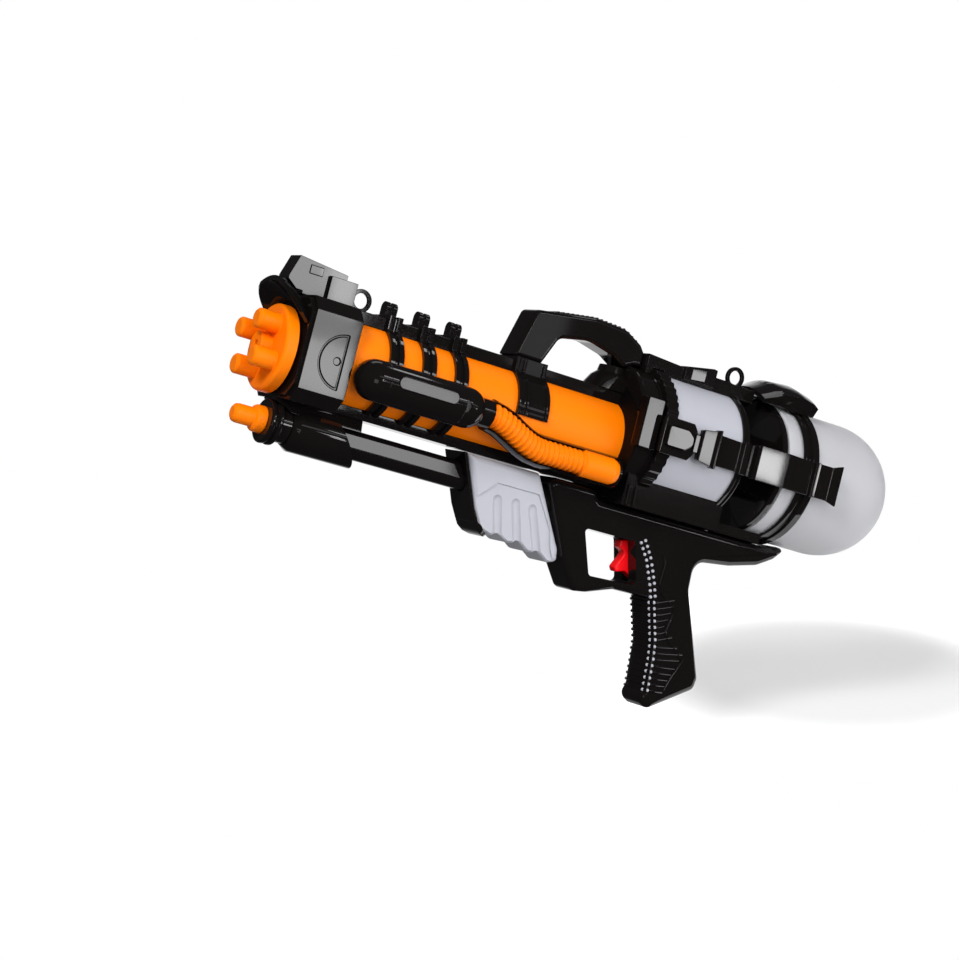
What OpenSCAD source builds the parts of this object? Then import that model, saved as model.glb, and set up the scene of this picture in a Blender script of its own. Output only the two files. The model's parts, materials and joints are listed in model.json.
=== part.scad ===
// Water squirter with a pump grip, a trigger valve, a turning nozzle and a twist-off tank.
// Lengths are in mm. The barrel runs along X with the muzzle at the low end, and Z is up.

/* [Front] */
// Length of the front block
block_len = 46; // [40:1:56]
// Width of the front block
block_w = 84; // [80:1:92]
// Height of the front block
block_h = 88; // [84:1:96]
// Chamfer along the corners of the front block
block_cham = 11; // [8:0.5:14]
// Gap between the nozzle disc and the front block
nozzle_gap = 0.4; // [0.3:0.1:1]
// Radius of the nozzle disc
nozzle_r = 37; // [33:0.5:38]
// Thickness of the nozzle disc
nozzle_t = 11; // [8:0.5:14]
// How far the nozzle axis lies below the barrel axis
nozzle_drop = 5; // [3:0.5:6]
// Radius of one nozzle prong
prong_r = 8.5; // [6:0.5:9]
// Length of a nozzle prong in front of the disc
prong_len = 20; // [14:1:24]
// Radius of the circle that the prongs stand on
prong_circle_r = 22.5; // [21:0.5:25]
// Angle that the prongs are turned from upright
prong_turn = 30; // [0:5:45]
// Radius of the spigot that carries the nozzle in the block
spigot_r = 15; // [13:0.5:18]

/* [Barrel] */
// Outer radius of the barrel
barrel_r = 37; // [34:0.5:38]
// Wall of the barrel
barrel_wall = 3; // [2:0.5:4]
// Length of the barrel between the front block and the rear collar
barrel_len = 278; // [264:1:300]
// Width of the rails on the barrel
rail_w = 30; // [26:1:34]
// Height of the top rail above the barrel
rail_rise = 8; // [6:0.5:9]
// Depth of the bottom rail below the barrel
rail_drop = 6; // [5:0.5:7]
// Distance from the front block to the first band
band_start = 40; // [36:1:43]
// Distance between bands
band_pitch = 32; // [28:1:34]
// Width of a band
band_w = 13; // [10:0.5:15]
// Thickness of the bands and the wide strap
band_t = 3.5; // [2.5:0.5:4]
// Width of the strap below the carry handle
strap_w = 32; // [28:1:36]

/* [Sling eyes] */
// Radius of the hole in a sling eye
eye_hole_r = 6.5; // [5:0.5:7.5]
// Thickness of the ring of a sling eye
eye_wire = 3.5; // [3:0.5:5]

/* [Handle] */
// Width of the carry handle
handle_w = 28; // [24:1:32]
// Height of the hand gap below the carry handle bar
handle_gap = 30; // [26:1:34]
// Thickness of the carry handle bar
handle_bar = 22; // [18:1:26]

/* [Canister and hose] */
// Radius of the side canister
canister_r = 17.5; // [15:0.5:19]
// Overall length of the side canister without its boss
canister_len = 124; // [112:1:130]
// Radius of the hose
hose_r = 11; // [9:0.5:12]
// Height of a corrugation of the hose
hose_ridge = 1.6; // [1:0.2:2]

/* [Pump] */
// Free gap between the bottom rail and the pump tube
tube_gap = 8.5; // [7:0.5:10]
// Outer radius of the pump tube
tube_r = 12.5; // [11.5:0.5:13.5]
// Wall of the pump tube
tube_wall = 2; // [1.5:0.5:3]
// Travel of the pump grip
pump_travel = 80; // [60:1:82]
// Width of the pump grip
pump_w = 38; // [36:1:44]
// Radius of the piston rod
rod_r = 4.5; // [3.5:0.5:5.5]
// Radius of the drive pin
drive_pin_r = 2.5; // [2:0.25:3]
// Length of the sleeve around the front of the pump tube
sleeve_len = 65; // [58:1:68]

/* [Lower body] */
// Width of the lower body and the pistol grip
body_w = 36; // [34:1:42]
// Wall of the lower body
body_wall = 3; // [2:0.5:3.5]
// Length of the pistol grip below the trigger guard
grip_len = 98; // [88:1:110]
// Depth of the trigger guard opening
guard_h = 40; // [38:1:44]
// Radius of the trigger pin
trigger_pin_r = 2; // [1.5:0.25:2.5]
// Thickness of the trigger
trigger_t = 10; // [8:0.5:11]
// Radius of a body screw
screw_r = 1.5; // [1.25:0.25:2]

/* [Drum and tank] */
// Height of the tank axis above the barrel axis
tank_rise = 16; // [14:0.5:18]
// Radius of the collar behind the barrel
collar_r = 56; // [54:0.5:57]
// Length of the collar
collar_len = 22; // [18:1:26]
// Radius of the knurled ring
knurl_r = 62; // [60.5:0.5:63.5]
// Length of the knurled ring
knurl_len = 13; // [10:1:16]
// Number of ribs on the knurled ring
knurl_count = 48; // [36:1:60]
// Radius of the drum
drum_r = 58; // [56:0.5:59]
// Wall of the drum
drum_wall = 3; // [2:0.5:4]
// Length of the drum
drum_len = 75; // [70:1:84]
// Length of the rim behind the drum
rim_len = 8; // [6:1:10]
// Radius of the neck between the drum and the tank
neck_r = 30; // [26:1:34]
// Length of the neck between the drum and the tank
neck_len = 36; // [32:1:42]
// Thickness of the dish that the tank seats on
dish_len = 8; // [7:1:10]
// Radius of the tank
tank_r = 63; // [58:0.5:64]
// Wall of the tank
tank_wall = 2; // [1.5:0.25:3]
// Length of the straight part of the tank
tank_len = 89; // [80:1:100]
// Radius of the tank neck
tank_neck_r = 20; // [18:0.5:22]
// Width of the side straps
side_strap_w = 31; // [27:1:34]

/* [Clearances] */
// Gap around pieces that slide or turn
run_gap = 0.4; // [0.3:0.05:0.6]
// Gap around a shaft in its hole
shaft_gap = 0.05; // [0.02:0.01:0.1]

/* [Hidden] */

$fn = 64;
black = "#1d1b1c";
orange = "#ff8400";
light_grey = "#bcbdc6";
red = "#f01418";
frosted = "#c8c9cf";
steel = "#a8aaad";

// Stations along the barrel, from the nozzle seat backwards
x_block = nozzle_gap + 3;
x_barrel = x_block + block_len;
x_collar = x_barrel + barrel_len;
x_knurl = x_collar + collar_len;
x_drum = x_knurl + knurl_len;
x_rim = x_drum + drum_len;
x_neck = x_rim + rim_len;
x_dish = x_neck + neck_len;
x_tank = x_dish + dish_len;
x_dome = x_tank + tank_len;
ring_r = tank_r + run_gap + 4;
x_ring = x_tank + 15;
ring_len = 18;

// Heights from the barrel axis
z_rail_top = barrel_r + rail_rise;
z_rail_under = -barrel_r - rail_drop;
z_strap_top = z_rail_top + band_t;
z_tube = z_rail_under - tube_gap - tube_r;
z_under = z_tube - tube_r - body_wall;
z_deck = tank_rise - ring_r - 0.5;
sleeve_r = -z_tube - block_h / 2;
tube_inner_r = tube_r - tube_wall;

// Origin at the middle of the pistol grip
x_grip = x_rim + 2;
z_grip = z_under - guard_h - 32;

module place() { translate([-x_grip, 0, -z_grip]) children(); }

// Geometry helpers
function unit(v) = v / norm(v);
function corner_arc(a, v, b, r, steps) =
    let (u = unit(a - v), w = unit(b - v), half = acos(u * w) / 2)
    let (centre = v + unit(u + w) * r / sin(half), first = v + u * r / tan(half),
        last = v + w * r / tan(half))
    let (from = atan2(first.y - centre.y, first.x - centre.x))
    let (to = atan2(last.y - centre.y, last.x - centre.x))
    let (turn = (to - from + 540) % 360 - 180)
    [for (i = [0 : steps]) centre + r * [cos(from + turn * i / steps), sin(from + turn * i / steps)]];
function flat(p) = [p[0], p[1]];
// Rounds each corner [x, z, radius] of an outline
function rounded(pts, steps = 3) = let (n = len(pts))
    [for (i = [0 : n - 1])
        each corner_arc(flat(pts[(i + n - 1) % n]), flat(pts[i]), flat(pts[(i + 1) % n]), pts[i][2],
            steps)];
// Moves each edge of an anticlockwise outline inwards, and its corner radii with it
function inset(pts, d) = let (n = len(pts))
    [for (i = [0 : n - 1])
        let (p = flat(pts[i]), before = unit(p - flat(pts[(i + n - 1) % n])),
            after = unit(flat(pts[(i + 1) % n]) - p))
        let (n0 = [-before.y, before.x], n1 = [-after.y, after.x],
            q = p + d * (n0 + n1) / (1 + n0 * n1))
        [q.x, q.y, max(least_r, pts[i][2] - d * sign(before.x * after.y - before.y * after.x))]];
least_r = 1;

// Solid through layers [y, inset] of one outline in the XZ plane
module loft(outline, layers) {
    n = len(rounded(outline));
    last = (len(layers) - 1) * n;
    points = [for (l = layers) for (p = rounded(inset(outline, l[1]))) [p.x, l[0], p.y]];
    sides = [for (k = [0 : len(layers) - 2]) for (i = [0 : n - 1])
        let (j = (i + 1) % n, a = k * n, b = a + n)
        each [[a + i, a + j, b + j], [a + i, b + j, b + i]]];
    ends = [[for (i = [n - 1 : -1 : 0]) i], [for (i = [0 : n - 1]) last + i]];
    polyhedron(points, concat(sides, ends));
}
function edge_layers(half, edge) =
    [for (a = [90 : -30 : 0]) [-half + edge * (1 - sin(a)), edge * (1 - cos(a))]];
// Half of a rounded body, on the side of -Y, with its flat face at the middle plane
module half_pillow(outline, half, edge) { loft(outline, concat(edge_layers(half, edge), [[0, 0]])); }
// The same half body with its rounded edge in steps
module half_terrace(outline, half, edge) {
    for (l = edge_layers(half, edge)) plate_y(rounded(inset(outline, l[1])), l[0], 0);
}
// A whole plate on both sides of the middle plane, with its rounded edges in steps
module terrace(outline, half, edge) {
    for (l = edge_layers(half, edge)) plate_y(rounded(inset(outline, l[1])), l[0], -l[0]);
}
// Tube through points, with one radius at each point
module sweep(path, radii, sides) {
    n = len(path);
    points = [for (i = [0 : n - 1])
        let (t = unit(path[min(i + 1, n - 1)] - path[max(i - 1, 0)]), u = unit(cross(t, [0, 1, 0])),
            w = cross(t, u))
        for (j = [0 : sides - 1])
            path[i] + radii[i] * (cos(360 * j / sides) * u + sin(360 * j / sides) * w)];
    walls = [for (i = [0 : n - 2]) for (j = [0 : sides - 1])
        let (k = (j + 1) % sides, a = i * sides, b = a + sides)
        each [[a + j, b + j, b + k], [a + j, b + k, a + k]]];
    ends = [[for (j = [0 : sides - 1]) j], [for (j = [sides - 1 : -1 : 0]) (n - 1) * sides + j]];
    polyhedron(points, concat(walls, ends));
}
module rod_x(x0, x1, r, z = 0, y = 0) {
    translate([x0, y, z]) rotate([0, 90, 0]) cylinder(h = x1 - x0, r = r);
}
module rod_z(x, y, z0, z1, r) { translate([x, y, z0]) cylinder(h = z1 - z0, r = r); }
module rod_y(x, z, y0, y1, r) { translate([x, y1, z]) rotate([90, 0, 0]) cylinder(h = y1 - y0, r = r); }
module tube_x(x0, x1, outer, inner, z = 0) {
    difference() {
        rod_x(x0, x1, outer, z);
        rod_x(x0 - 1, x1 + 1, inner, z);
    }
}
// Solid of revolution about an axis along X, from a profile of [x, radius]
module turned(profile, z = 0) {
    translate([0, 0, z]) rotate([0, 90, 0]) rotate_extrude()
        polygon([for (p = profile) [p[1], p[0]]]);
}
module box(low, high) { translate(low) cube(high - low); }
module plate_y(outline, y0, y1) {
    translate([0, y1, 0]) rotate([90, 0, 0]) linear_extrude(y1 - y0) polygon(outline);
}
module other_side() { mirror([0, 1, 0]) children(); }

// Nozzle head
nozzle_seal_t = 2;
jet_hole_r = 3;
spigot_len = 20;
module nozzle_head() {
    jet_boss_r = prong_circle_r - prong_r - 3;
    jet_boss_len = prong_len / 2;
    place() color(orange) difference() {
        union() {
            turned([[0, 0], [0, nozzle_r], [2 - nozzle_t, nozzle_r], [-nozzle_t, nozzle_r - 2],
                [-nozzle_t, 0]], -nozzle_drop);
            rod_x(-nozzle_t - jet_boss_len, 0, jet_boss_r, -nozzle_drop);
            translate([0, 0, -nozzle_drop]) for (i = [0 : 3]) rotate([prong_turn + 90 * i, 0, 0])
                turned([[2 - nozzle_t, 0], [2 - nozzle_t, prong_r], [2 - nozzle_t - prong_len, prong_r],
                    [-nozzle_t - prong_len, prong_r - 2], [-nozzle_t - prong_len, 0]], prong_circle_r);
            rod_x(0, x_block + spigot_len, spigot_r - shaft_gap, -nozzle_drop);
        }
        rod_x(-nozzle_t - jet_boss_len - 1, x_block + spigot_len + 1, jet_hole_r, -nozzle_drop);
        rod_x(x_block + spigot_len - nozzle_seal_t - 6, x_block + spigot_len + 1, jet_r + 2,
            -nozzle_drop);
    }
}
module nozzle_seal() {
    x = x_block + spigot_len - nozzle_seal_t;
    place() color(black) tube_x(x, x + nozzle_seal_t, jet_r + 2 - run_gap, jet_r + shaft_gap,
        -nozzle_drop);
}

// Front block, hood and sight
function octagon(w, h, c) = [[w / 2 - c, -h / 2], [w / 2, c - h / 2], [w / 2, h / 2 - c],
    [w / 2 - c, h / 2],
    [c - w / 2, h / 2], [-w / 2, h / 2 - c], [-w / 2, c - h / 2], [c - w / 2, -h / 2]];
dial_r = 23;
dial_depth = 1.2;
module octagon_x(x0, x1, w, h, c) {
    translate([x0, 0, 0]) rotate([90, 0, 90]) linear_extrude(x1 - x0) polygon(octagon(w, h, c));
}
// Half-round groove with a hub, sunk in the side of the block
module dial_groove() {
    x = x_barrel - 9;
    translate([0, -block_w / 2 + dial_depth, -4]) rotate([90, 0,
        0]) linear_extrude(dial_depth + 1) difference() {
        intersection() {
            translate([x, 0]) circle(dial_r);
            translate([x - 2 * dial_r, -dial_r]) square([2 * dial_r, 2 * dial_r]);
        }
        intersection() {
            translate([x, 0]) circle(dial_r - 1.6);
            translate([x - 2 * dial_r, -dial_r]) square([2 * dial_r - 1.6, 2 * dial_r]);
        }
    }
    rod_y(x - 6, -4, -block_w / 2 - 1, -block_w / 2 + dial_depth, 3.2);
}
module front_block() {
    lip = 3;
    place() color(black) difference() {
        union() {
            octagon_x(x_block + lip, x_barrel, block_w, block_h, block_cham);
            octagon_x(x_block, x_block + lip, block_w - 2 * lip, block_h - 2 * lip, block_cham);
        }
        rod_x(x_block - 1, x_barrel + 1, spigot_r, -nozzle_drop);
        rod_x(x_block + spigot_len + 4, x_barrel + 1, barrel_r - barrel_wall);
        dial_groove();
        other_side() dial_groove();
    }
}
hood_len = 20;
hood_t = 5;
hood_flare = 10.5;
hood_lip_r = 3.5;
// Visor over the nozzle, with a thick lip, that sweeps down to the sides of the block
module hood() {
    x1 = x_block;
    x0 = x_block - hood_len;
    r = block_h / 2 - 3;
    low = r * 0.78;
    place() color(black) intersection() {
        union() {
            turned([[x0, r + hood_flare], [x1, r], [x1, r - hood_t], [x0, r + hood_flare - hood_t]]);
            translate([x0, 0, 0]) rotate([0, 90, 0]) rotate_extrude()
                translate([r + hood_flare - hood_t / 2, 0]) circle(hood_lip_r);
        }
        plate_y([[x1 + 1, low], [x1 + 1, 2 * r], [x0 - 9, 2 * r], [x0 - 9, r + 2], [x0, r + 2],
            [x1, low]],
            -block_w, block_w);
    }
}
sight_w = 20;
sight_window = 0.8;
sight_foot_w = 28;
module sight() {
    z = block_h / 2;
    x = x_block;
    place() color(black) union() {
        plate_y([[x, z], [x + 27, z], [x + 37, z + 18], [x + 37, z + 25.5], [x - 9, z + 30],
            [x - 15, z + 12],
            [x - 15, z + 9], [x - 6, z + 2.5], [x, z + 2.5]], -sight_w / 2, sight_w / 2);
        box([x + 21, -sight_foot_w / 2, z], [x_barrel, sight_foot_w / 2, z + 21]);
        box([x + 2, -sight_w / 2 - sight_window, z + 18],
            [x + 14, sight_w / 2 + sight_window, z + 25]);
    }
}

// Eye for a sling, standing on the surface at height z
module sling_eye(x, z) {
    outer = eye_hole_r + eye_wire;
    place() color(black) difference() {
        union() {
            rod_y(x, z + outer - 1, -eye_wire / 2, eye_wire / 2, outer);
            box([x - outer * 0.7, -eye_wire / 2, z], [x + outer * 0.7, eye_wire / 2, z + outer / 2]);
        }
        rod_y(x, z + outer - 1, -eye_wire, eye_wire, eye_hole_r);
        box([x - outer, -eye_wire, z - outer], [x + outer, eye_wire, z]);
    }
}
module sling_eye_front() { sling_eye(x_barrel + eye_hole_r + eye_wire + 2, z_rail_top); }
module sling_eye_rear() { sling_eye(x_neck + 7, z_bridge); }

// Barrel and what rings it
module barrel_half() {
    intersection() {
        tube_x(x_barrel, x_collar, barrel_r, barrel_r - barrel_wall);
        box([x_barrel - 1, -barrel_r - 1, -barrel_r - 1], [x_collar + 1, 0, barrel_r + 1]);
    }
}
module barrel_left() { place() color(orange) barrel_half(); }
module barrel_right() { place() color(orange) other_side() barrel_half(); }
module rail_block(z0, z1) { box([x_barrel, -rail_w / 2, z0], [x_collar, rail_w / 2, z1]); }
module top_rail() {
    place() color(black) difference() {
        rail_block(barrel_r / 2, z_rail_top);
        rod_x(x_barrel - 1, x_collar + 1, barrel_r);
    }
}
module bottom_rail() {
    place() color(black) difference() {
        rail_block(z_rail_under, -barrel_r / 2);
        rod_x(x_barrel - 1, x_collar + 1, barrel_r);
    }
}
// Ring around the barrel that bridges the top rail
module clasp(x0, x1, t, z_low) {
    difference() {
        union() {
            rod_x(x0, x1, barrel_r + t);
            box([x0, -rail_w / 2 - t, 0], [x1, rail_w / 2 + t, z_rail_top + t]);
        }
        rod_x(x0 - 1, x1 + 1, barrel_r);
        box([x0 - 1, -rail_w / 2, -2 * barrel_r], [x1 + 1, rail_w / 2, z_rail_top]);
        box([x0 - 1, -2 * barrel_r, -2 * barrel_r], [x1 + 1, 2 * barrel_r, z_low]);
    }
}
stud_w = 11;
stud_h = 12;
function x_band(i) = x_barrel + band_start + band_pitch * i;
module band(i) {
    x = x_band(i);
    ridge_w = band_w * 0.38;
    place() color(black) union() {
        clasp(x - band_w / 2, x - band_w / 2 + ridge_w, band_t, z_rail_under);
        clasp(x + band_w / 2 - ridge_w, x + band_w / 2, band_t, z_rail_under);
        clasp(x - band_w / 2, x + band_w / 2, band_t / 2, z_rail_under);
        translate([x, 0, z_strap_top]) difference() {
            union() {
                translate([-stud_w / 2, -stud_w / 2, -band_t]) cube([stud_w, stud_w,
                    stud_h - stud_w / 2 + band_t]);
                rod_x(-stud_w / 2, stud_w / 2, stud_w / 2, stud_h - stud_w / 2);
            }
            translate([-1, -stud_w, stud_h - 6]) cube([2, 2 * stud_w, stud_h]);
            translate([-stud_w, -stud_w, -2 * band_t]) cube([2 * stud_w, 2 * stud_w, band_t]);
        }
    }
}
module band_1() { band(0); }
module band_2() { band(1); }
module band_3() { band(2); }
x_handle = x_collar - 118;
x_strap = x_handle + 2;
strap_low = -2;
module wide_strap() {
    place() color(black) union() {
        clasp(x_strap, x_strap + 4, band_t, strap_low);
        clasp(x_strap + strap_w - 4, x_strap + strap_w, band_t, strap_low);
        clasp(x_strap, x_strap + strap_w, band_t * 0.6, strap_low);
        clasp(x_strap + 8, x_strap + 11, band_t, strap_low);
        box([x_strap, -rail_w / 2 - band_t * 0.6, z_rail_top],
            [x_strap + strap_w, rail_w / 2 + band_t * 0.6, z_strap_top]);
    }
}

// Carry handle: front post, curved bar and the bell-shaped rear post
z_bar = z_strap_top + handle_gap;
handle_edge = 2.5;
module carry_handle() {
    x = x_handle;
    z = z_strap_top;
    top = z_bar + handle_bar;
    outline = [[x, z, 0.5], [x + 30, z, 1], [x + 42, z_bar - 4, 9], [x + 72, z_bar + 2, 30],
        [x + 100, z_bar - 4, 20],
        [x + 112, z_post, 3], [x_collar - 0.5, z_post, 0.5], [x_collar - 0.5, z_collar_top, 0.5],
        [x_collar + 13.5, z_collar_top, 1],
        [x_collar + 13.5, z_spine - 4, 3], [x + 126, top - 9, 6],
        [x + 108, top, 20], [x + 76, top + 1.5, 40], [x + 12, top - 8, 6]];
    place() color(black) terrace(outline, handle_w / 2, handle_edge);
}
z_post = z_bar - 12;
z_collar_top = tank_rise + collar_r + 0.3;
module handle_post() {
    x = x_collar - 8;
    low = 24;
    place() color(black) intersection() {
        translate([x, 0, 0]) rotate_extrude()
            polygon([[0, z_rail_top], [low, z_rail_top], [low - 2, z_rail_top + 4],
                [low - 6, z_rail_top + 11], [low - 11, z_post - 6],
                [low - 12, z_post], [0, z_post]]);
        box([x - low, -handle_w / 2 - 3, z_rail_top], [x_collar, handle_w / 2 + 3, z_post]);
    }
}

// Side canisters and their hoses
x_canister = x_barrel + 2;
canister_y = -barrel_r - 9;
canister_z = -10;
boss_len = 6;
x_hose = x_canister + canister_len + boss_len;
module canister_shape() {
    r = canister_r;
    x0 = x_canister;
    x1 = x_canister + canister_len;
    difference() {
        union() {
            translate([0, canister_y,
                0]) turned(concat([for (i = [0 : 8]) [x0 + r - r * cos(i * 11.25), r * sin(i * 11.25)]],
                [[x0 + r + 14, r], [x0 + r + 15, r - 1.2], [x0 + r + 17, r - 1.2], [x0 + r + 18, r],
                [x1 - r - 12, r], [x1 - r - 11, r - 1.2], [x1 - r - 9, r - 1.2], [x1 - r - 8, r]],
                [for (i = [8 : -1 : 4]) [x1 - r + r * cos(i * 11.25), r * sin(i * 11.25)]],
                [[x_hose, r * sin(45)], [x_hose, 0]]), canister_z);
        }
        rod_x(x0 - 1, x_hose + 1, barrel_r + band_t);
        translate([0, canister_y - r + 1.2, canister_z]) rotate([90, 0,
            0]) linear_extrude(r) hull_slot(x0 + 46, x1 - 26, 5.5);
    }
}
module hull_slot(x0, x1, r) {
    translate([x0, -r]) square([x1 - x0, 2 * r]);
    translate([x0, 0]) circle(r);
    translate([x1, 0]) circle(r);
}
module canister_left() { place() color(black) canister_shape(); }
module canister_right() { place() color(black) other_side() canister_shape(); }

// The hose leaves the canister, drops beside the barrel and runs back to the collar
hose_run_y = -barrel_r - 4;
hose_run_z = -27;
hose_end = x_collar - 6;
hose_bend = 62;
hose_pitch = 2.6;
function ease(t) = t * t * (3 - 2 * t);
function hose_point(x) = let (t = ease(min(1, max(0, (x - x_hose) / hose_bend))))
    [x, canister_y + (hose_run_y - canister_y) * t, canister_z + (hose_run_z - canister_z) * t];
hose_steps = floor((hose_end - x_hose) / hose_pitch);
function hose_x(i) = x_hose + 0.5 + (hose_end - x_hose - 0.5) * i / hose_steps;
smooth_end = 36;
function hose_radius(i) = let (left = hose_end - hose_x(i))
    left < smooth_end ? hose_r + 1 - max(0, 5 - left) * 0.4 : hose_r - (i % 2) * hose_ridge;
module hose_shape() {
    difference() {
        sweep([for (i = [0 : hose_steps]) hose_point(hose_x(i))],
            [for (i = [0 : hose_steps]) hose_radius(i)], 20);
        rod_x(x_barrel, x_collar + 1, barrel_r + 0.2);
    }
}
module hose_left() { place() color(orange) hose_shape(); }
module hose_right() { place() color(orange) other_side() hose_shape(); }
tray_lip = 3.5;
module hose_tray_shape() {
    count = 14;
    length = hose_end - x_hose;
    outer = [for (i = [0 : count]) hose_point(x_hose + 2.5 + (length + 0.5) * i / count)];
    inner = [for (i = [0 : count]) hose_point(x_hose + (length + 0.3) * i / count)];
    difference() {
        sweep([for (p = outer) p + [0, 5, 0]], [for (p = outer) hose_r + tray_lip], 16);
        sweep(inner, [for (p = inner) hose_r + 1.3], 20);
        rod_x(x_barrel, x_collar + 9, barrel_r + 0.2);
    }
}
module hose_tray_left() { place() color(black) hose_tray_shape(); }
module hose_tray_right() { place() color(black) other_side() hose_tray_shape(); }

// Nose plug, ribbed collar, sleeve and pump tube
x_sleeve = x_block + 20;
plug_r = 11.5;
module nose_plug() {
    place() color(orange) turned([[-26, 0], [-26, 5], [-24, 7.5], [-21, 8.2], [-8, 8.2],
        [-7, plug_r - 1], [-5, plug_r], [2, plug_r],
        [2, 0]], z_tube);
}
module nose_collar() {
    r = sleeve_r - 1;
    place() color(black) turned([[2, 0], [2, r - 1], [3, r], [6, r], [7, r - 2], [8.5, r - 2],
        [9.5, r], [12.5, r], [13.5, r - 1],
        [13.5, r - 4], [x_sleeve, r - 4], [x_sleeve, 0]], z_tube);
}
x_sleeve_end = x_sleeve + sleeve_len;
sleeve_slant = 28;
module sleeve() {
    place() color(black) difference() {
        union() {
            turned([[x_sleeve, 0], [x_sleeve, sleeve_r - 4], [x_sleeve + 6, sleeve_r],
                [x_sleeve_end, sleeve_r], [x_sleeve_end, 0]],
                z_tube);
            box([x_sleeve + 8, -12, z_tube], [x_sleeve_end - sleeve_slant - 4, 12, -block_h / 2]);
        }
        rod_x(x_sleeve + 10, x_sleeve_end + 1, tube_r, z_tube);
        plate_y([[x_sleeve_end, z_tube - sleeve_r], [x_sleeve_end + 1, z_tube + 2 * sleeve_r],
            [x_sleeve_end - 2 * sleeve_slant, z_tube + 3 * sleeve_r]], -2 * sleeve_r, 2 * sleeve_r);
    }
}
// The pump grip stands in front of the strut of the lower body
x_strut = x_collar - 56;
x_pump = x_strut - 90;
x_drive = x_pump + 34;
slot_spare = 2;
x_tube_end = x_drum + 3;
module pump_tube() {
    place() color(black) difference() {
        tube_x(x_sleeve + 10, x_tube_end, tube_r, tube_inner_r, z_tube);
        box([x_drive - pump_travel - drive_pin_r - slot_spare, -drive_pin_r - run_gap, z_tube],
            [x_drive + drive_pin_r + slot_spare, drive_pin_r + run_gap, z_tube + 2 * tube_r]);
    }
}

// Pump grip, with its scalloped underside
pump_half = pump_w / 2;
z_pump_top = z_rail_under - 1;
function pump_outline() = let (x = x_pump, z = z_tube)
    [[x + 6.5, z_pump_top, 2], [x + 26, z - 24, 20], [x + 36.5, z - 40.5, 10], [x + 49, z - 44, 5],
        [x + 54, z - 40, 4], [x + 66, z - 46, 5], [x + 73, z - 45, 3], [x + 76, z - 41.5, 4],
        [x + 88, z - 49, 5], [x + 94, z - 49, 4],
        [x + 98, z - 46, 4], [x + 111, z - 54, 5], [x + 121, z - 51, 4], [x + 119, z - 40, 8],
        [x + 82, z_pump_top, 3]];
module pump_grip_half() {
    outline = pump_outline();
    wall = 3;
    difference() {
        half_pillow(outline, pump_half, 6);
        difference() {
            plate_y(rounded(inset(outline, wall)), -pump_half + wall, 1);
            for (x = [x_pump + 10, x_drive - 6, x_drive + 3, x_pump + 62])
                box([x, -pump_half, z_tube - 70], [x + 3, 2, z_pump_top]);
        }
        rod_x(x_pump - 40, x_strut + 60, tube_r + run_gap, z_tube);
        rod_z(x_drive, 0, z_tube, z_pump_top + 1, drive_pin_r + shaft_gap);
    }
}
module pump_grip_left() { place() color(light_grey) pump_grip_half(); }
module pump_grip_right() { place() color(light_grey) other_side() pump_grip_half(); }
module pump_collar() {
    place() color(black) difference() {
        plate_y([[x_pump + 2.5, z_pump_top], [x_pump + 22, z_tube - 24], [x_pump + 30, z_tube - 36.5],
            [x_pump + 33.3, z_tube - 36], [x_pump + 25.7, z_tube - 24], [x_pump + 6.2, z_pump_top]],
            -pump_half + 1, pump_half - 1);
        rod_x(x_pump, x_pump + 40, tube_r + run_gap, z_tube);
    }
}
piston_len = 14;
x_piston = x_tube_end - 22;
seal_w = 4;
module drive_pin() {
    place() color(steel) rod_z(x_drive, 0, z_tube - rod_r - 2, z_pump_top - 1, drive_pin_r);
}
module piston_rod() {
    place() color(steel) difference() {
        rod_x(x_drive - 10, x_piston, rod_r, z_tube);
        rod_z(x_drive, 0, z_tube - 2 * rod_r, z_tube + 2 * rod_r, drive_pin_r + shaft_gap);
    }
}
module piston() {
    r = tube_inner_r - run_gap;
    place() color(light_grey) turned([[x_piston, 0], [x_piston, r], [x_piston + 4, r],
        [x_piston + 4, r - 2], [x_piston + 4 + seal_w, r - 2],
        [x_piston + 4 + seal_w, r], [x_piston + piston_len, r], [x_piston + piston_len, 0]], z_tube);
}
module piston_seal() {
    r = tube_inner_r;
    place() color(black) tube_x(x_piston + 4, x_piston + 4 + seal_w, r - shaft_gap, r - run_gap - 2,
        z_tube);
}
head_len = 10;
x_head = x_tube_end;
pipe_r = 4;
pipe_bore = 2.5;
riser_y = 10;
module valve_head() {
    place() color(light_grey) difference() {
        rod_x(x_head, x_head + head_len, tube_r - 0.5, z_tube);
        rod_x(x_head - 1, x_head + head_len - 3, pipe_bore, z_tube);
        rod_x(x_head + 3, x_head + head_len + 1, pipe_bore, z_suction, -riser_y + 2);
    }
}

// Lower body with the trigger guard and the pistol grip
x_pivot = x_grip - 52;
z_pivot = z_under + 9.5;
function body_outline() = let (s = x_strut, g = x_grip, z = z_under, b = z_under - guard_h - 6,
    e = b - grip_len)
    [[s, z_rail_under - 0.5, 7], [s + 38, b + 10, 14], [s + 54, b - 11, 8], [s + 70, b - 9, 30],
    [s + 97, b - 0.5, 12],
        [g - 31, b, 5], [g - 17, b - 0.4 * grip_len, 30], [g - 13, e + 17, 7], [g - 18, e + 8, 8],
        [g - 4, e, 8],
        [g + 42, e + 27, 8], [g + 43.5, e + 38, 8], [g + 10.5, z - 30, 16], [g + 9, z - 3, 12],
        [x_neck + 42, z_deck - 26, 20],
        [x_ring + 24, z_deck - 14, 4], [x_ring + 36, z_deck, 6], [x_collar + 3, z_deck, 3],
        [x_collar - 1, z_rail_under - 0.5, 7]];
function guard_outline() = let (s = x_strut, g = x_grip, z = z_under)
    [[s + 50, z, 3], [s + 66, z - guard_h, 4], [g - 50, z - guard_h + 2, 4], [g - 62, z, 3]];
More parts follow.
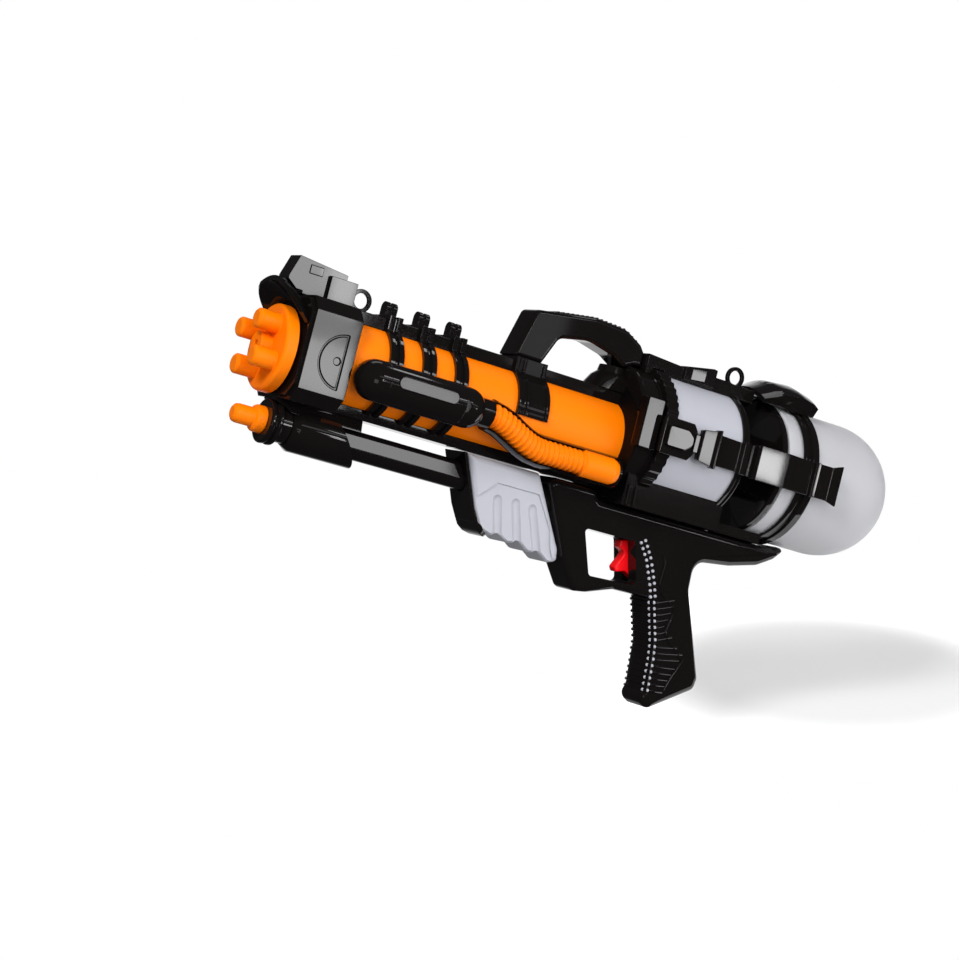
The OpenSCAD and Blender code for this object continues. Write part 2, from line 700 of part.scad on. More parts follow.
trigger_slot = trigger_t / 2 + 0.5;
valve_r = 8;
x_valve = x_grip - 22;
valve_len = 26;
z_valve = z_under - 13.5;
body_half = body_w / 2;
screw_spots = [[x_strut + 51, z_under - 38], [x_strut + 37, z_under - 14], [x_grip - 2, z_grip - 14],
    [x_grip + 14, z_grip - 50], [x_grip + 38, z_under + 14]];
boss_r = 4;
head_r = 3;
head_depth = 4;
// Hollows of the strut, the pistol grip and the tail, drawn in the XZ plane
function body_hollows() = let (s = x_strut, g = x_grip, z = z_under, b = z_under - guard_h - 6,
    e = b - grip_len)
    [[[s + 24, z - 5], [s + 41, b + 11], [s + 55, b - 5], [s + 70, b - 3], [s + 70, b + 1],
    [s + 60, b + 1], [s + 44, z - 5]],
        [[g - 19, b - 14], [g - 12, b - 0.4 * grip_len], [g - 8, e + 17], [g - 1, e + 8],
        [g + 36, e + 30],
            [g + 38, e + 38], [g + 13, b - 6]],
        [[g + 27, z_deck - 16.5], [x_neck + 40, z_deck - 14.5], [x_ring + 14, z_deck - 8.5],
            [x_ring + 18, z_deck - 4],
            [g + 27, z_deck - 4]]];
module body_half_shell() {
    difference() {
        half_terrace(body_outline(), body_half, 6);
        plate_y(rounded(guard_outline()), -body_half - 1, 1);
        for (hollow = body_hollows()) difference() {
            plate_y(hollow, -body_half + body_wall, 1);
            for (p = screw_spots) rod_y(p[0], p[1], -body_half, 2, boss_r);
        }
        rod_x(x_strut - 20, x_head + head_len + 1, tube_r, z_tube);
        rod_y(x_pivot, z_pivot, -body_half + body_wall - 1, 1, trigger_pin_r);
        box([x_pivot - 14, -trigger_slot, z_under - guard_h + 4], [x_grip - 27, 1, z_deck - 4]);
        rod_x(x_valve, x_valve + valve_len, valve_r, z_valve);
        rod_x(x_grip - 40, x_valve + 1, plunger_flange_r + 1, z_valve);
        for (x = [x_delivery, x_feed]) rod_z(x, 0, z_valve, z_deck + 1, pipe_r);
        rod_z(x_riser, riser_y, z_tube, z_deck + 1, pipe_r);
        rod_z(x_riser, -riser_y, z_tube, z_deck + 1, pipe_r);
        for (y = [-riser_y, riser_y]) {
            rod_z(x_suction, y, z_suction, z_deck + 1, pipe_r);
            rod_x(x_head, x_suction + pipe_r, pipe_r, z_suction, y);
        }
        for (p = screw_spots) rod_y(p[0], p[1], -body_half + body_wall, 1, screw_r);
    }
}
module body_left() { place() color(black) body_half_shell(); }
module body_right() {
    place() color(black) difference() {
        other_side() body_half_shell();
        for (p = screw_spots) rod_y(p[0], p[1], body_half - head_depth, body_half + 1, head_r);
    }
}
module body_screws() {
    place() color(steel) for (p = screw_spots) {
        rod_y(p[0], p[1], -body_half + body_wall + 1, body_half - head_depth, screw_r);
        rod_y(p[0], p[1], body_half - head_depth, body_half - 1.5, head_r - 0.2);
    }
}
saddle_w = 80;
module saddle() {
    place() color(black) difference() {
        union() {
            plate_y([[x_collar + 10, z_deck], [x_rim + rim_len, z_deck],
                [x_rim + rim_len, tank_rise - 38], [x_collar + 10, tank_rise - 38]],
                -saddle_w / 2, saddle_w / 2);
            box([x_neck, -30, z_deck], [x_ring - 2, 30, z_deck + 9]);
        }
        rear_stack(0);
        rod_x(x_tank - 4, x_dome, tank_r + 1, tank_rise);
        rod_x(x_dish - 1, x_dome, tank_r + 1.2, tank_rise);
        for (x = [x_delivery, x_feed]) rod_z(x, 0, z_deck - 1, 0, pipe_r);
        rod_z(x_riser, riser_y, z_deck - 1, 0, pipe_r);
        rod_z(x_suction, -riser_y, z_deck - 1, z_deck + 20, pipe_r);
        rod_x(x_collar, x_head + head_len + 1, tube_r + run_gap, z_tube);
    }
}

// Trigger, valve and spring
trigger_edge = 1.5;
module trigger() {
    x = x_pivot;
    z = z_pivot;
    outline = [[x - 7, z + 6, 4], [x - 9, z - 9, 2], [x - 17, z - 11, 2], [x - 17, z - 17, 2],
        [x - 9, z - 21, 3], [x - 17, z - 36, 2],
        [x - 14, z - 40, 2], [x - 4, z - 37, 8], [x + 8, z - 44, 3], [x + 12.5, z - 37, 3],
        [x + 5, z - 16, 6], [x + 8, z - 6, 4], [x + 7, z + 6, 5]];
    place() color(red) difference() {
        terrace(outline, trigger_t / 2, trigger_edge);
        rod_y(x, z, -trigger_t, trigger_t, trigger_pin_r + shaft_gap);
    }
}
module trigger_pin() {
    place() color(steel) rod_y(x_pivot, z_pivot, -body_half + body_wall - 1, body_half - body_wall + 1,
        trigger_pin_r);
}
plunger_r = 3;
plunger_flange_r = 6;
x_plunger = x_pivot + 9;
x_flange = x_valve - 14;
plunger_travel = 7;
module valve_body() {
    place() color(light_grey) difference() {
        rod_x(x_valve, x_valve + valve_len, valve_r, z_valve);
        rod_x(x_valve - 1, x_valve + valve_len - 4, plunger_r + shaft_gap, z_valve);
        for (x = [x_delivery, x_feed]) rod_z(x, 0, z_valve, z_valve + 2 * valve_r, pipe_bore);
    }
}
module valve_plunger() {
    place() color(steel) union() {
        rod_x(x_plunger, x_valve + valve_len - 4 - plunger_travel - 2, plunger_r, z_valve);
        rod_x(x_flange, x_flange + 2, plunger_flange_r, z_valve);
    }
}
spring_wire = 0.6;
spring_turns = 4;
module valve_spring() {
    steps = spring_turns * 12;
    first = x_flange + 2 + spring_wire;
    reach = x_valve - spring_wire - first;
    path = [for (i = [0 : steps]) [first + reach * i / steps, 4.6 * cos(i * 30),
        z_valve + 4.6 * sin(i * 30)]];
    place() color(steel) sweep(path, [for (p = path) spring_wire], 6);
}

// Water lines
jet_r = 6;
z_jet = -nozzle_drop;
x_delivery = x_valve + 6;
x_feed = x_delivery + 2 * pipe_r + 0.6;
x_riser = x_head + 5;
z_suction = z_tube + 5;
chamber_r = 20;
z_chamber = z_jet + jet_r + chamber_r + 4;
x_chamber = x_drum + 4;
x_suction = x_neck + 8;
module jet_tube() {
    place() color(frosted) difference() {
        union() {
            rod_x(x_block + spigot_len - 6, x_delivery + pipe_r, jet_r, z_jet);
            rod_z(x_delivery, 0, z_valve + valve_r, z_jet, pipe_r);
        }
        rod_x(x_block, x_delivery, jet_r - 2, z_jet);
        rod_z(x_delivery, 0, z_valve, z_jet, pipe_bore);
        rod_x(x_valve - 1, x_valve + valve_len + 1, valve_r, z_valve);
    }
}
module bulkheads() {
    place() color(black) for (x = [x_barrel + 4, x_collar - 9])
        tube_x_offset(x, x + 4, barrel_r - barrel_wall, jet_r, z_jet);
}
module tube_x_offset(x0, x1, outer, inner, z) {
    difference() {
        rod_x(x0, x1, outer);
        rod_x(x0 - 1, x1 + 1, inner, z);
    }
}
module pressure_chamber() {
    place() color(frosted) difference() {
        rod_x(x_chamber, x_rim - 4, chamber_r, z_chamber);
        rod_x(x_chamber + 2, x_rim - 6, chamber_r - 2, z_chamber);
        rod_z(x_feed, 0, z_jet, z_chamber, pipe_bore);
        rod_z(x_riser, riser_y, z_jet, z_chamber, pipe_bore);
    }
}
// Feed from the chamber to the valve, riser from the pump, and suction line from the tank
module water_tubes() {
    place() color(frosted) difference() {
        union() {
            rod_z(x_feed, 0, z_valve, z_chamber, pipe_r);
            rod_z(x_riser, riser_y, z_tube, z_chamber, pipe_r);
            rod_x(x_head + head_len, x_suction + pipe_r, pipe_r, z_suction, -riser_y);
            rod_z(x_suction, -riser_y, z_suction, tank_rise, pipe_r);
        }
        rod_x(x_head, x_head + head_len, tube_r - 0.5, z_tube);
        rod_x(x_valve - 1, x_valve + valve_len + 1, valve_r, z_valve);
        rod_x(x_chamber, x_rim, chamber_r, z_chamber);
        rod_x(x_neck, x_dish, neck_r, tank_rise);
        rod_z(x_feed, 0, z_valve, z_chamber, pipe_bore);
        rod_z(x_riser, riser_y, z_tube, z_chamber, pipe_bore);
        rod_z(x_suction, -riser_y, z_suction, tank_rise, pipe_bore);
        rod_x(x_head, x_suction, pipe_bore, z_suction, -riser_y);
    }
}

// Rear stack: collar, knurled ring, drum and rim
rim_r = drum_r + 2;
module rear_stack(grow) {
    rod_x(x_collar - 1, x_knurl, collar_r + grow, tank_rise);
    rod_x(x_knurl, x_drum, knurl_r + grow, tank_rise);
    rod_x(x_drum, x_rim, drum_r + grow, tank_rise);
    rod_x(x_rim, x_neck, rim_r + grow, tank_rise);
}
module collar() {
    place() color(black) difference() {
        turned([[x_collar, 0], [x_collar, collar_r - 2], [x_collar + 2, collar_r],
            [x_knurl - 3, collar_r], [x_knurl - 2, collar_r - 1],
            [x_knurl - 1, collar_r], [x_knurl, collar_r], [x_knurl, 0]], tank_rise);
        rod_x(x_collar - 1, x_knurl + 1, barrel_r - barrel_wall - 4);
    }
}
module knurled_ring() {
    rib = 1.2;
    outline = [for (i = [0 : knurl_count - 1]) for (k = [0 : 3])
        let (a = (i + k / 4) * 360 / knurl_count, r = k < 2 ? knurl_r : knurl_r - rib) r * [cos(a),
            sin(a)]];
    place() color(black) translate([x_knurl, 0, tank_rise]) rotate([0, 90, 0]) difference() {
        linear_extrude(knurl_len) polygon(outline);
        translate([0, 0, -1]) cylinder(h = knurl_len + 2, r = drum_r - drum_wall - 3);
    }
}
module drum() {
    place() color(light_grey) difference() {
        tube_x(x_drum, x_rim, drum_r, drum_r - drum_wall, tank_rise);
        for (x = [x_delivery, x_feed]) rod_z(x, 0, z_deck - 1, z_jet, pipe_r);
        rod_z(x_riser, riser_y, z_deck - 1, z_jet, pipe_r);
    }
}
module drum_rim() {
    place() color(black) difference() {
        turned([[x_rim, 0], [x_rim, rim_r], [x_rim + 3, rim_r], [x_rim + 4, rim_r - 1.5],
            [x_rim + 5, rim_r], [x_neck - 1, rim_r],
            [x_neck, rim_r - 1], [x_neck, 0]], tank_rise);
        rod_x(x_rim - 1, x_neck + 1, neck_r / 2, tank_rise);
    }
}
z_spine = tank_rise + knurl_r + 11;
spine_w = 40;
z_bridge = z_spine - 6;
bridge_len = 19;
module spine() {
    z = z_spine;
    outline = [[x_collar + 14, tank_rise + 30], [x_neck, tank_rise + 30], [x_neck, z_bridge - 12],
        [x_neck + bridge_len, z_bridge - 12], [x_neck + bridge_len, z_bridge], [x_neck - 2, z_bridge],
        [x_rim - 6, z - 5], [x_drum + 16, z - 5], [x_collar + 14, z - 3]];
    stud = [[x_drum + 19, z - 16], [x_drum + 54, z - 16], [x_drum + 54, z + 1],
        [x_drum + 50, z + 1.5], [x_drum + 19, z - 4]];
    place() color(black) difference() {
        union() {
            plate_y(outline, -spine_w / 2, spine_w / 2);
            plate_y(stud, -spine_w / 2 - 3, spine_w / 2 + 3);
        }
        rear_stack(0);
    }
}
cowl_inner = ring_r;
cowl_rise = 16.5;
cowl_angle = 31;
cowl_tab_angle = 15;
cowl_tab = 8;
module cowl() {
    x0 = x_neck + bridge_len;
    x_back = x_ring + ring_len;
    x1 = x_back + cowl_tab;
    r = cowl_inner;
    h = cowl_rise;
    place() color(black) intersection() {
        turned([[x0, r], [x_back, r], [x_back, r + 0.5], [x1, r + 0.5], [x1, r + h * 0.45],
            [x1 - 12, r + h * 0.83],
            [x1 - 28, r + h], [x1 - 47, r + h * 0.88], [x0 + 12, r + h * 0.6], [x0, r + h * 0.25]],
            tank_rise);
        union() {
            sector(x0, x_back + 2, cowl_angle);
            sector(x0, x1, cowl_tab_angle);
        }
    }
}
// Wedge about the tank axis, upwards
module sector(x0, x1, angle) {
    far = 2 * (cowl_inner + cowl_rise);
    translate([x0, 0, tank_rise]) rotate([90, 0, 90]) linear_extrude(x1 - x0)
        polygon([[0, 0], [far * sin(angle), far * cos(angle)], [-far * sin(angle), far * cos(angle)]]);
}

// Tank socket, tank ring, tank and gasket
gasket_t = 2;
tank_neck_len = 24;
module tank_socket() {
    place() color(black) difference() {
        union() {
            rod_x(x_neck, x_dish, neck_r, tank_rise);
            turned([[x_dish, 0], [x_dish, tank_r - 1], [x_dish + 1, tank_r],
                [x_tank - gasket_t - run_gap, tank_r],
                [x_tank - gasket_t - run_gap, 0]], tank_rise);
            rod_x(x_neck - 4, x_tank + tank_len * 0.7, pipe_r, tank_rise);
        }
        difference() {
            rod_x(x_tank - tank_neck_len - gasket_t, x_tank + 1, tank_neck_r + shaft_gap, tank_rise);
            rod_x(x_neck - 5, x_tank + tank_len, pipe_r, tank_rise);
        }
        rod_x(x_neck - 5, x_tank + tank_len, pipe_bore, tank_rise);
    }
}
module tank_ring() {
    r = ring_r;
    inner = tank_r + run_gap;
    place() color(black) turned([[x_ring, inner], [x_ring, r - 2], [x_ring + 2, r - 1],
        [x_ring + 5, r - 1], [x_ring + 6, r - 2.5],
        [x_ring + 8, r - 2.5], [x_ring + 9, r], [x_ring + ring_len - 2, r], [x_ring + ring_len, r - 2],
        [x_ring + ring_len, inner]], tank_rise);
}
module tank() {
    inner = tank_r - tank_wall;
    x0 = x_tank;
    neck_in = tank_neck_r - tank_wall;
    place() color(frosted, 0.6) difference() {
        union() {
            rod_x(x0, x_dome, tank_r, tank_rise);
            translate([x_dome, 0, tank_rise]) sphere(tank_r, $fn = 96);
            rod_x(x0 - tank_neck_len + run_gap, x0, tank_neck_r, tank_rise);
        }
        rod_x(x0 + tank_wall, x_dome, inner, tank_rise);
        translate([x_dome, 0, tank_rise]) sphere(inner, $fn = 96);
        rod_x(x0 - tank_neck_len - 1, x0 + tank_wall + 1, neck_in, tank_rise);
    }
}
module tank_gasket() {
    place() color(black) tube_x(x_tank - gasket_t - run_gap, x_tank - run_gap, tank_r - 4,
        tank_neck_r + run_gap + 1, tank_rise);
}

// Side strap with its buckle, from the knurled ring back over the tank ring
strap_over_ring = 3.6;
y_strap = -ring_r - strap_over_ring;
module strap_shape() {
    y = -knurl_r;
    z = tank_rise;
    h = side_strap_w / 2;
    union() {
        difference() {
            box([x_knurl + 2, y - 4, z - h], [x_dish - 1, y - 1, z + h]);
            rear_stack(0);
        }
        box([x_knurl - 8, y - 7, z - h + 1], [x_knurl + 34, y - 2, z + h - 1]);
        box([x_knurl - 4, y - 9, z - h + 6], [x_knurl + 30, y - 6, z + h - 6]);
        box([x_knurl + 36, y - 9, z - h + 1], [x_knurl + 54, y - 2, z + h - 1]);
        box([x_rim - 4, y - 6, z - h], [x_rim + 4, y - 2, z + h]);
        box([x_dish - 8, y_strap, z - h], [x_dish - 0.5, y - 1, z + h]);
        difference() {
            box([x_dish - 1, y_strap, z - h], [x_ring + ring_len - 2, y_strap + 7, z + h]);
            rod_x(x_dish - 2, x_dome, ring_r + 0.3, z);
        }
        plate_z_tab(z - h, z + h);
    }
}
module plate_z_tab(z0, z1) {
    x = x_ring + ring_len - 2;
    y = y_strap;
    translate([0, 0, z0]) linear_extrude(z1 - z0)
        polygon([[x - 2, y], [x + 14, y - 2], [x + 22, y - 5], [x + 24, y - 3], [x + 15, y + 2],
            [x - 2, y + 3.3]]);
}
module side_strap_left() { place() color(black) strap_shape(); }
module side_strap_right() { place() color(black) other_side() strap_shape(); }

nozzle_head();
nozzle_seal();
front_block();
hood();
sight();
sling_eye_front();
sling_eye_rear();
barrel_left();
barrel_right();
top_rail();
bottom_rail();
band_1();
band_2();
band_3();
wide_strap();
carry_handle();
handle_post();
canister_left();
canister_right();
hose_left();
hose_right();
hose_tray_left();
hose_tray_right();
nose_plug();
nose_collar();
sleeve();
pump_tube();
pump_grip_left();
pump_grip_right();
pump_collar();
drive_pin();
piston_rod();
piston();
piston_seal();
valve_head();
body_left();
body_right();
body_screws();
saddle();
trigger();
trigger_pin();
valve_body();
valve_plunger();
valve_spring();
jet_tube();
bulkheads();
pressure_chamber();
water_tubes();
collar();
knurled_ring();
drum();
drum_rim();
spine();
cowl();
tank_socket();
tank_ring();
side_strap_left();
side_strap_right();
tank();
tank_gasket();
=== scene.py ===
"""Looks of a pump-action water squirter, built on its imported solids."""

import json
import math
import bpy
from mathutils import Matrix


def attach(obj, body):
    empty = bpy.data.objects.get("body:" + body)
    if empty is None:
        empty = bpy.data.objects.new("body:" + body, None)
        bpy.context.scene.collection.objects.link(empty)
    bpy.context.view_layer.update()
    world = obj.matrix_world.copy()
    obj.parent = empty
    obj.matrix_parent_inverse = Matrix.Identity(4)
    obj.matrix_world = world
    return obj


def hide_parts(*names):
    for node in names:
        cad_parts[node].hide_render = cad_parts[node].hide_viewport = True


bl_info = {
    "name": "Water squirter looks",
    "version": (1, 0, 0),
    "blender": (4, 5, 0),
    "location": "View3D > Sidebar > Squirter",
    "description": "Moulded skins, grip texture, hoses, straps, plastics and studio of a squirter",
    "category": "Add Mesh",
}

import bmesh
import bpy
from mathutils import Matrix, Vector

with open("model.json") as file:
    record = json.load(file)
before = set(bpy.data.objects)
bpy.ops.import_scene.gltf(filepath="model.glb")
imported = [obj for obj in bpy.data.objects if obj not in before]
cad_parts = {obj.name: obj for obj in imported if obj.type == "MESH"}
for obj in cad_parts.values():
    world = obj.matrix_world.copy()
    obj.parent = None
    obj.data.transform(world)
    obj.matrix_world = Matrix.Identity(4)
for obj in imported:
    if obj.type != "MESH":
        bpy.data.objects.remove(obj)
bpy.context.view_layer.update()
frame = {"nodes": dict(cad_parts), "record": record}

MM = 0.001
# Where the middle of the pistol grip lies on the barrel's own scale, in mm
GRIP_X, GRIP_Z = 439.4, -151.5


def at(x, y, z):
    """A point given on the barrel's scale in mm, in the shared frame."""
    return Vector(((x - GRIP_X) * MM, y * MM, (z - GRIP_Z) * MM))


def linear(code):
    """Linear RGB of an sRGB hex colour."""
    shares = [int(code[i : i + 2], 16) / 255 for i in (1, 3, 5)]
    return [s / 12.92 if s <= 0.04045 else ((s + 0.055) / 1.055) ** 2.4 for s in shares]


# Outlines


def rounded(corners, steps=6):
    """Points of an outline whose corners (x, z, radius) are rounded."""
    points = []
    for i, (x, z, radius) in enumerate(corners):
        here = Vector((x, z))
        back = (Vector(corners[i - 1][:2]) - here).normalized()
        ahead = (Vector(corners[(i + 1) % len(corners)][:2]) - here).normalized()
        half = back.angle(ahead) / 2
        centre = here + (back + ahead).normalized() * radius / math.sin(half)
        first = here + back * radius / math.tan(half) - centre
        last = here + ahead * radius / math.tan(half) - centre
        turn = first.angle_signed(last)
        for k in range(steps + 1):
            a = -turn * k / steps
            c, s = math.cos(a), math.sin(a)
            points.append(centre + Vector((first.x * c - first.y * s, first.x * s + first.y * c)))
    return points


def inset(corners, depth):
    """The corners of an anticlockwise outline moved inwards, with their radii."""
    moved = []
    for i, (x, z, radius) in enumerate(corners):
        here = Vector((x, z))
        before = (here - Vector(corners[i - 1][:2])).normalized()
        after = (Vector(corners[(i + 1) % len(corners)][:2]) - here).normalized()
        n0, n1 = Vector((-before.y, before.x)), Vector((-after.y, after.x))
        spot = here + depth * (n0 + n1) / (1 + n0.dot(n1))
        turn = math.copysign(1, before.x * after.y - before.y * after.x)
        moved.append((spot.x, spot.y, max(1.0, radius - depth * turn)))
    return moved


# Mesh making


def loft(rings, closed=True):
    """Mesh through rings of points, with a face over each end."""
    bm = bmesh.new()
    rows = [[bm.verts.new(p) for p in ring] for ring in rings]
    n = len(rows[0])
    for a, b in zip(rows, rows[1:]):
        for i in range(n):
            j = (i + 1) % n
            bm.faces.new((a[i], a[j], b[j], b[i]))
    if closed:
        bm.faces.new(rows[0][::-1])
        bm.faces.new(rows[-1])
    bmesh.ops.recalc_face_normals(bm, faces=bm.faces)
    return bm


def pillow(corners, half, edge, one_side=0, steps=6, rounds=6):
    """Plate in the XZ plane with rounded edges; one_side is -1 or 1 for half of it."""
    layers = []
    for k in range(rounds + 1):
        a = math.pi / 2 * (1 - k / rounds)
        layers.append((-half + edge * (1 - math.sin(a)), edge * (1 - math.cos(a))))
    if one_side:
        layers = [(-one_side * y, d) for y, d in layers] + [(0.0, 0.0)]
    else:
        layers += [(-y, d) for y, d in reversed(layers)]
    return loft([[at(p.x, y, p.y) for p in rounded(inset(corners, d), steps)] for y, d in layers])


def tube(path, radii, sides=24):
    """Tube through points, with one radius at each."""
    rings = []
    for i, p in enumerate(path):
        way = (path[min(i + 1, len(path) - 1)] - path[max(i - 1, 0)]).normalized()
        sideways = abs(way.y) > 0.95
        side = (way.orthogonal() if sideways else way.cross(Vector((0, 1, 0)))).normalized()
        over = way.cross(side)
        turns = [2 * math.pi * k / sides for k in range(sides)]
        rings.append([p + radii[i] * (math.cos(t) * side + math.sin(t) * over) for t in turns])
    return loft(rings)


def turned(profile, turns=128):
    """Solid of revolution about the barrel's axis, from (x, radius) points."""
    angles = [2 * math.pi * k / turns for k in range(turns)]
    rings = [[at(x, -r * math.cos(a), r * math.sin(a)) for x, r in profile] for a in angles]
    bm = loft(rings + rings[:1], closed=False)
    bmesh.ops.remove_doubles(bm, verts=bm.verts, dist=1e-7)
    return bm


def brick(low, high):
    """Box between two corners on the barrel's scale."""
    bm = bmesh.new()
    a, b = at(*low), at(*high)
    place = Matrix.Translation((a + b) / 2) @ Matrix.Diagonal((*(b - a), 1.0))
    bmesh.ops.create_cube(bm, size=1.0, matrix=place)
    return bm


def along(line, pitch):
    """Points at a pitch along a line of (x, z), each with the line's direction there."""
    spots, left = [], 0.0
    for a, b in zip(line, line[1:]):
        a, b = Vector(a), Vector(b)
        ahead = (b - a).normalized()
        while left <= (b - a).length:
            spots.append((a + ahead * left, ahead))
            left += pitch
        left -= (b - a).length
    return spots


def edge_at(line, z):
    """The x of a line of (x, z) at a height."""
    for (x0, z0), (x1, z1) in zip(line, line[1:]):
        if z1 <= z <= z0:
            return x0 + (x1 - x0) * (z - z0) / (z1 - z0)
    return line[-1][0]


def bar(sections, side):
    """Bar along X through sections (x, outer y, inner y, low z, high z)."""
    rings = []
    for x, outer, inner, low, high in sections:
        corners = ((outer, low), (outer, high), (inner, high), (inner, low))
        rings.append([at(x, side * y, z) for y, z in corners])
    return loft(rings)


def raised(corners, side, inner, outer, edge):
    """Pad on a side, with a rounded front edge."""
    layers = [(inner, 0.0)]
    for k in range(4):
        a = math.pi / 2 * k / 3
        layers.append((outer - edge * (1 - math.sin(a)), edge * (1 - math.cos(a))))
    return loft([[at(p.x, side * y, p.y) for p in rounded(inset(corners, d), 5)] for y, d in layers])


def merge(parts):
    """One mesh of several."""
    whole = bmesh.new()
    for part in parts:
        mesh = bpy.data.meshes.new("part")
        part.to_mesh(mesh)
        part.free()
        whole.from_mesh(mesh)
        bpy.data.meshes.remove(mesh)
    return whole


def piece(name, bm, slot, body, stands_for=()):
    """Object of a mesh that rides on a body and takes a slot's material."""
    mesh = bpy.data.meshes.new(name)
    bm.to_mesh(mesh)
    bm.free()
    obj = bpy.data.objects.new(name, mesh)
    bpy.context.scene.collection.objects.link(obj)
    mesh.materials.append(materials()[slot])
    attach(obj, body)
    if stands_for:
        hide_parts(*stands_for)
    return obj


def carve(obj, bm):
    """Cuts a mesh out of an object."""
    mesh = bpy.data.meshes.new("cutter")
    bm.to_mesh(mesh)
    bm.free()
    cutter = bpy.data.objects.new("cutter", mesh)
    bpy.context.scene.collection.objects.link(cutter)
    tool = obj.modifiers.new("cut", "BOOLEAN")
    tool.operation, tool.solver, tool.object = "DIFFERENCE", "EXACT", cutter
    shape = bpy.data.meshes.new_from_object(obj.evaluated_get(bpy.context.evaluated_depsgraph_get()))
    shape.name = obj.name
    obj.modifiers.remove(tool)
    obj.data = shape
    bpy.data.objects.remove(cutter)
    if not shape.polygons:
        raise RuntimeError(f"nothing is left of {obj.name} after a cut")


def soften(obj, width, angle=38.0):
    """Smooth shading, with each edge sharper than an angle in degrees rounded to a width."""
    obj.data.shade_smooth()
    if width:
        bevel = obj.modifiers.new("edges", "BEVEL")
        bevel.width, bevel.segments = width, 3
        bevel.limit_method, bevel.angle_limit = "ANGLE", math.radians(angle)
        bevel.miter_outer = "MITER_ARC"
        bevel.use_clamp_overlap = True
    normals = obj.modifiers.new("normals", "WEIGHTED_NORMAL")
    normals.mode, normals.weight, normals.keep_sharp = "FACE_AREA_WITH_ANGLE", 60, True


# Materials


def add_node(tree, kind, settings=None, links=None):
    """Adds a node, sets its values and links its inputs."""
    node = tree.nodes.new(kind)
    for key, value in (settings or {}).items():
        if isinstance(key, str) and hasattr(node, key):
            setattr(node, key, value)
        else:
            node.inputs[key].default_value = value
    for key, source in (links or {}).items():
        tree.links.new(source, node.inputs[key])
    return node


def surface(name, colour, rough, ripple_mm, ripple, tint, settings):
    """Material with slight changes of tone, a roughness that varies and a ripple of a width in mm."""
    # The grain of a mould or a lathe is too fine to show, so the ripple is drawn coarser.
    flow_mm, ripple_depth_mm = 45, 0.05
    material = bpy.data.materials.new(name)
    material.use_nodes = True
    tree = material.node_tree
    tree.nodes.clear()
    where = add_node(tree, "ShaderNodeTexCoord").outputs["Object"]
    flow = add_node(
        tree, "ShaderNodeTexNoise", {"Scale": 1 / (flow_mm * MM), "Detail": 3.0}, {"Vector": where}
    )
    grain = add_node(
        tree, "ShaderNodeTexNoise", {"Scale": 1 / (ripple_mm * MM), "Detail": 2.0}, {"Vector": where}
    )
    dark = [c * (1 - tint) for c in colour] + [1.0]
    light = [min(1.0, c * (1 + tint)) for c in colour] + [1.0]
    shade = add_node(
        tree, "ShaderNodeMix", {"data_type": "RGBA", 6: dark, 7: light}, {0: flow.outputs["Fac"]}
    )
    dull = add_node(
        tree,
        "ShaderNodeMapRange",
        {"From Min": 0.3, "From Max": 0.7, "To Min": rough * 0.85, "To Max": rough * 1.2},
        {"Value": flow.outputs["Fac"]},
    )
    bump = add_node(
        tree,
        "ShaderNodeBump",
        {"Strength": ripple, "Distance": ripple_depth_mm * MM},
        {"Height": grain.outputs["Fac"]},
    )
    shader = add_node(
        tree,
        "ShaderNodeBsdfPrincipled",
        settings,
        {
            "Base Color": shade.outputs[2],
            "Roughness": dull.outputs["Result"],
            "Normal": bump.outputs["Normal"],
        },
    )
    add_node(tree, "ShaderNodeOutputMaterial", {}, {"Surface": shader.outputs["BSDF"]})
    return material


MADE = {}


def materials():
    """The materials by slot, made once."""
    if MADE:
        return MADE
    look = bpy.context.scene.squirter_finish
    # Black ABS from a polished mould: deep black, with clear reflections of the soft boxes.
    MADE["black_plastic"] = surface(
        "ABS_polished_black", look.black, 0.05, 9.0, 0.08, 0.15, {"IOR": 1.5, "Specular IOR Level": 0.5}
    )
    # Orange polypropylene from a satin mould: even colour with a broad soft sheen.
    MADE["orange_plastic"] = surface(
        "PP_satin_orange", look.orange, 0.38, 3.0, 0.15, 0.02, {"IOR": 1.49, "Specular IOR Level": 0.2}
    )
    # Light grey ABS from a satin mould: flat, slightly bluish grey without clear reflections.
    MADE["grey_plastic"] = surface("ABS_satin_grey", look.grey, 0.42, 3.0, 0.15, 0.02, {"IOR": 1.5})
    # Red ABS from a polished mould: full red with small bright lights on its edges.
    MADE["red_plastic"] = surface("ABS_polished_red", look.red, 0.25, 6.0, 0.1, 0.03, {"IOR": 1.5})
    # Blow-moulded polyethylene: milky, with light that spreads some 30 mm through the wall.
    milky = {"IOR": 1.51, "Subsurface Weight": 0.6, "Subsurface Scale": 1.0}
    milky["Subsurface Radius"] = (30 * MM, 30 * MM, 30 * MM)
    MADE["frosted_plastic"] = surface("LDPE_blown_frosted", look.frosted, 0.5, 4.0, 0.2, 0.02, milky)
    # Moulded nitrile rubber: dull black that mirrors next to nothing.
    MADE["seal_rubber"] = surface(
        "NBR_moulded_black", look.rubber, 0.6, 1.5, 0.3, 0.1, {"IOR": 1.52, "Specular IOR Level": 0.12}
    )
    # Drawn and turned stainless steel: bright grey with a soft broken shine.
    MADE["steel"] = surface("Steel_turned", look.steel, 0.3, 0.8, 0.1, 0.05, {"Metallic": 1.0})
    return MADE


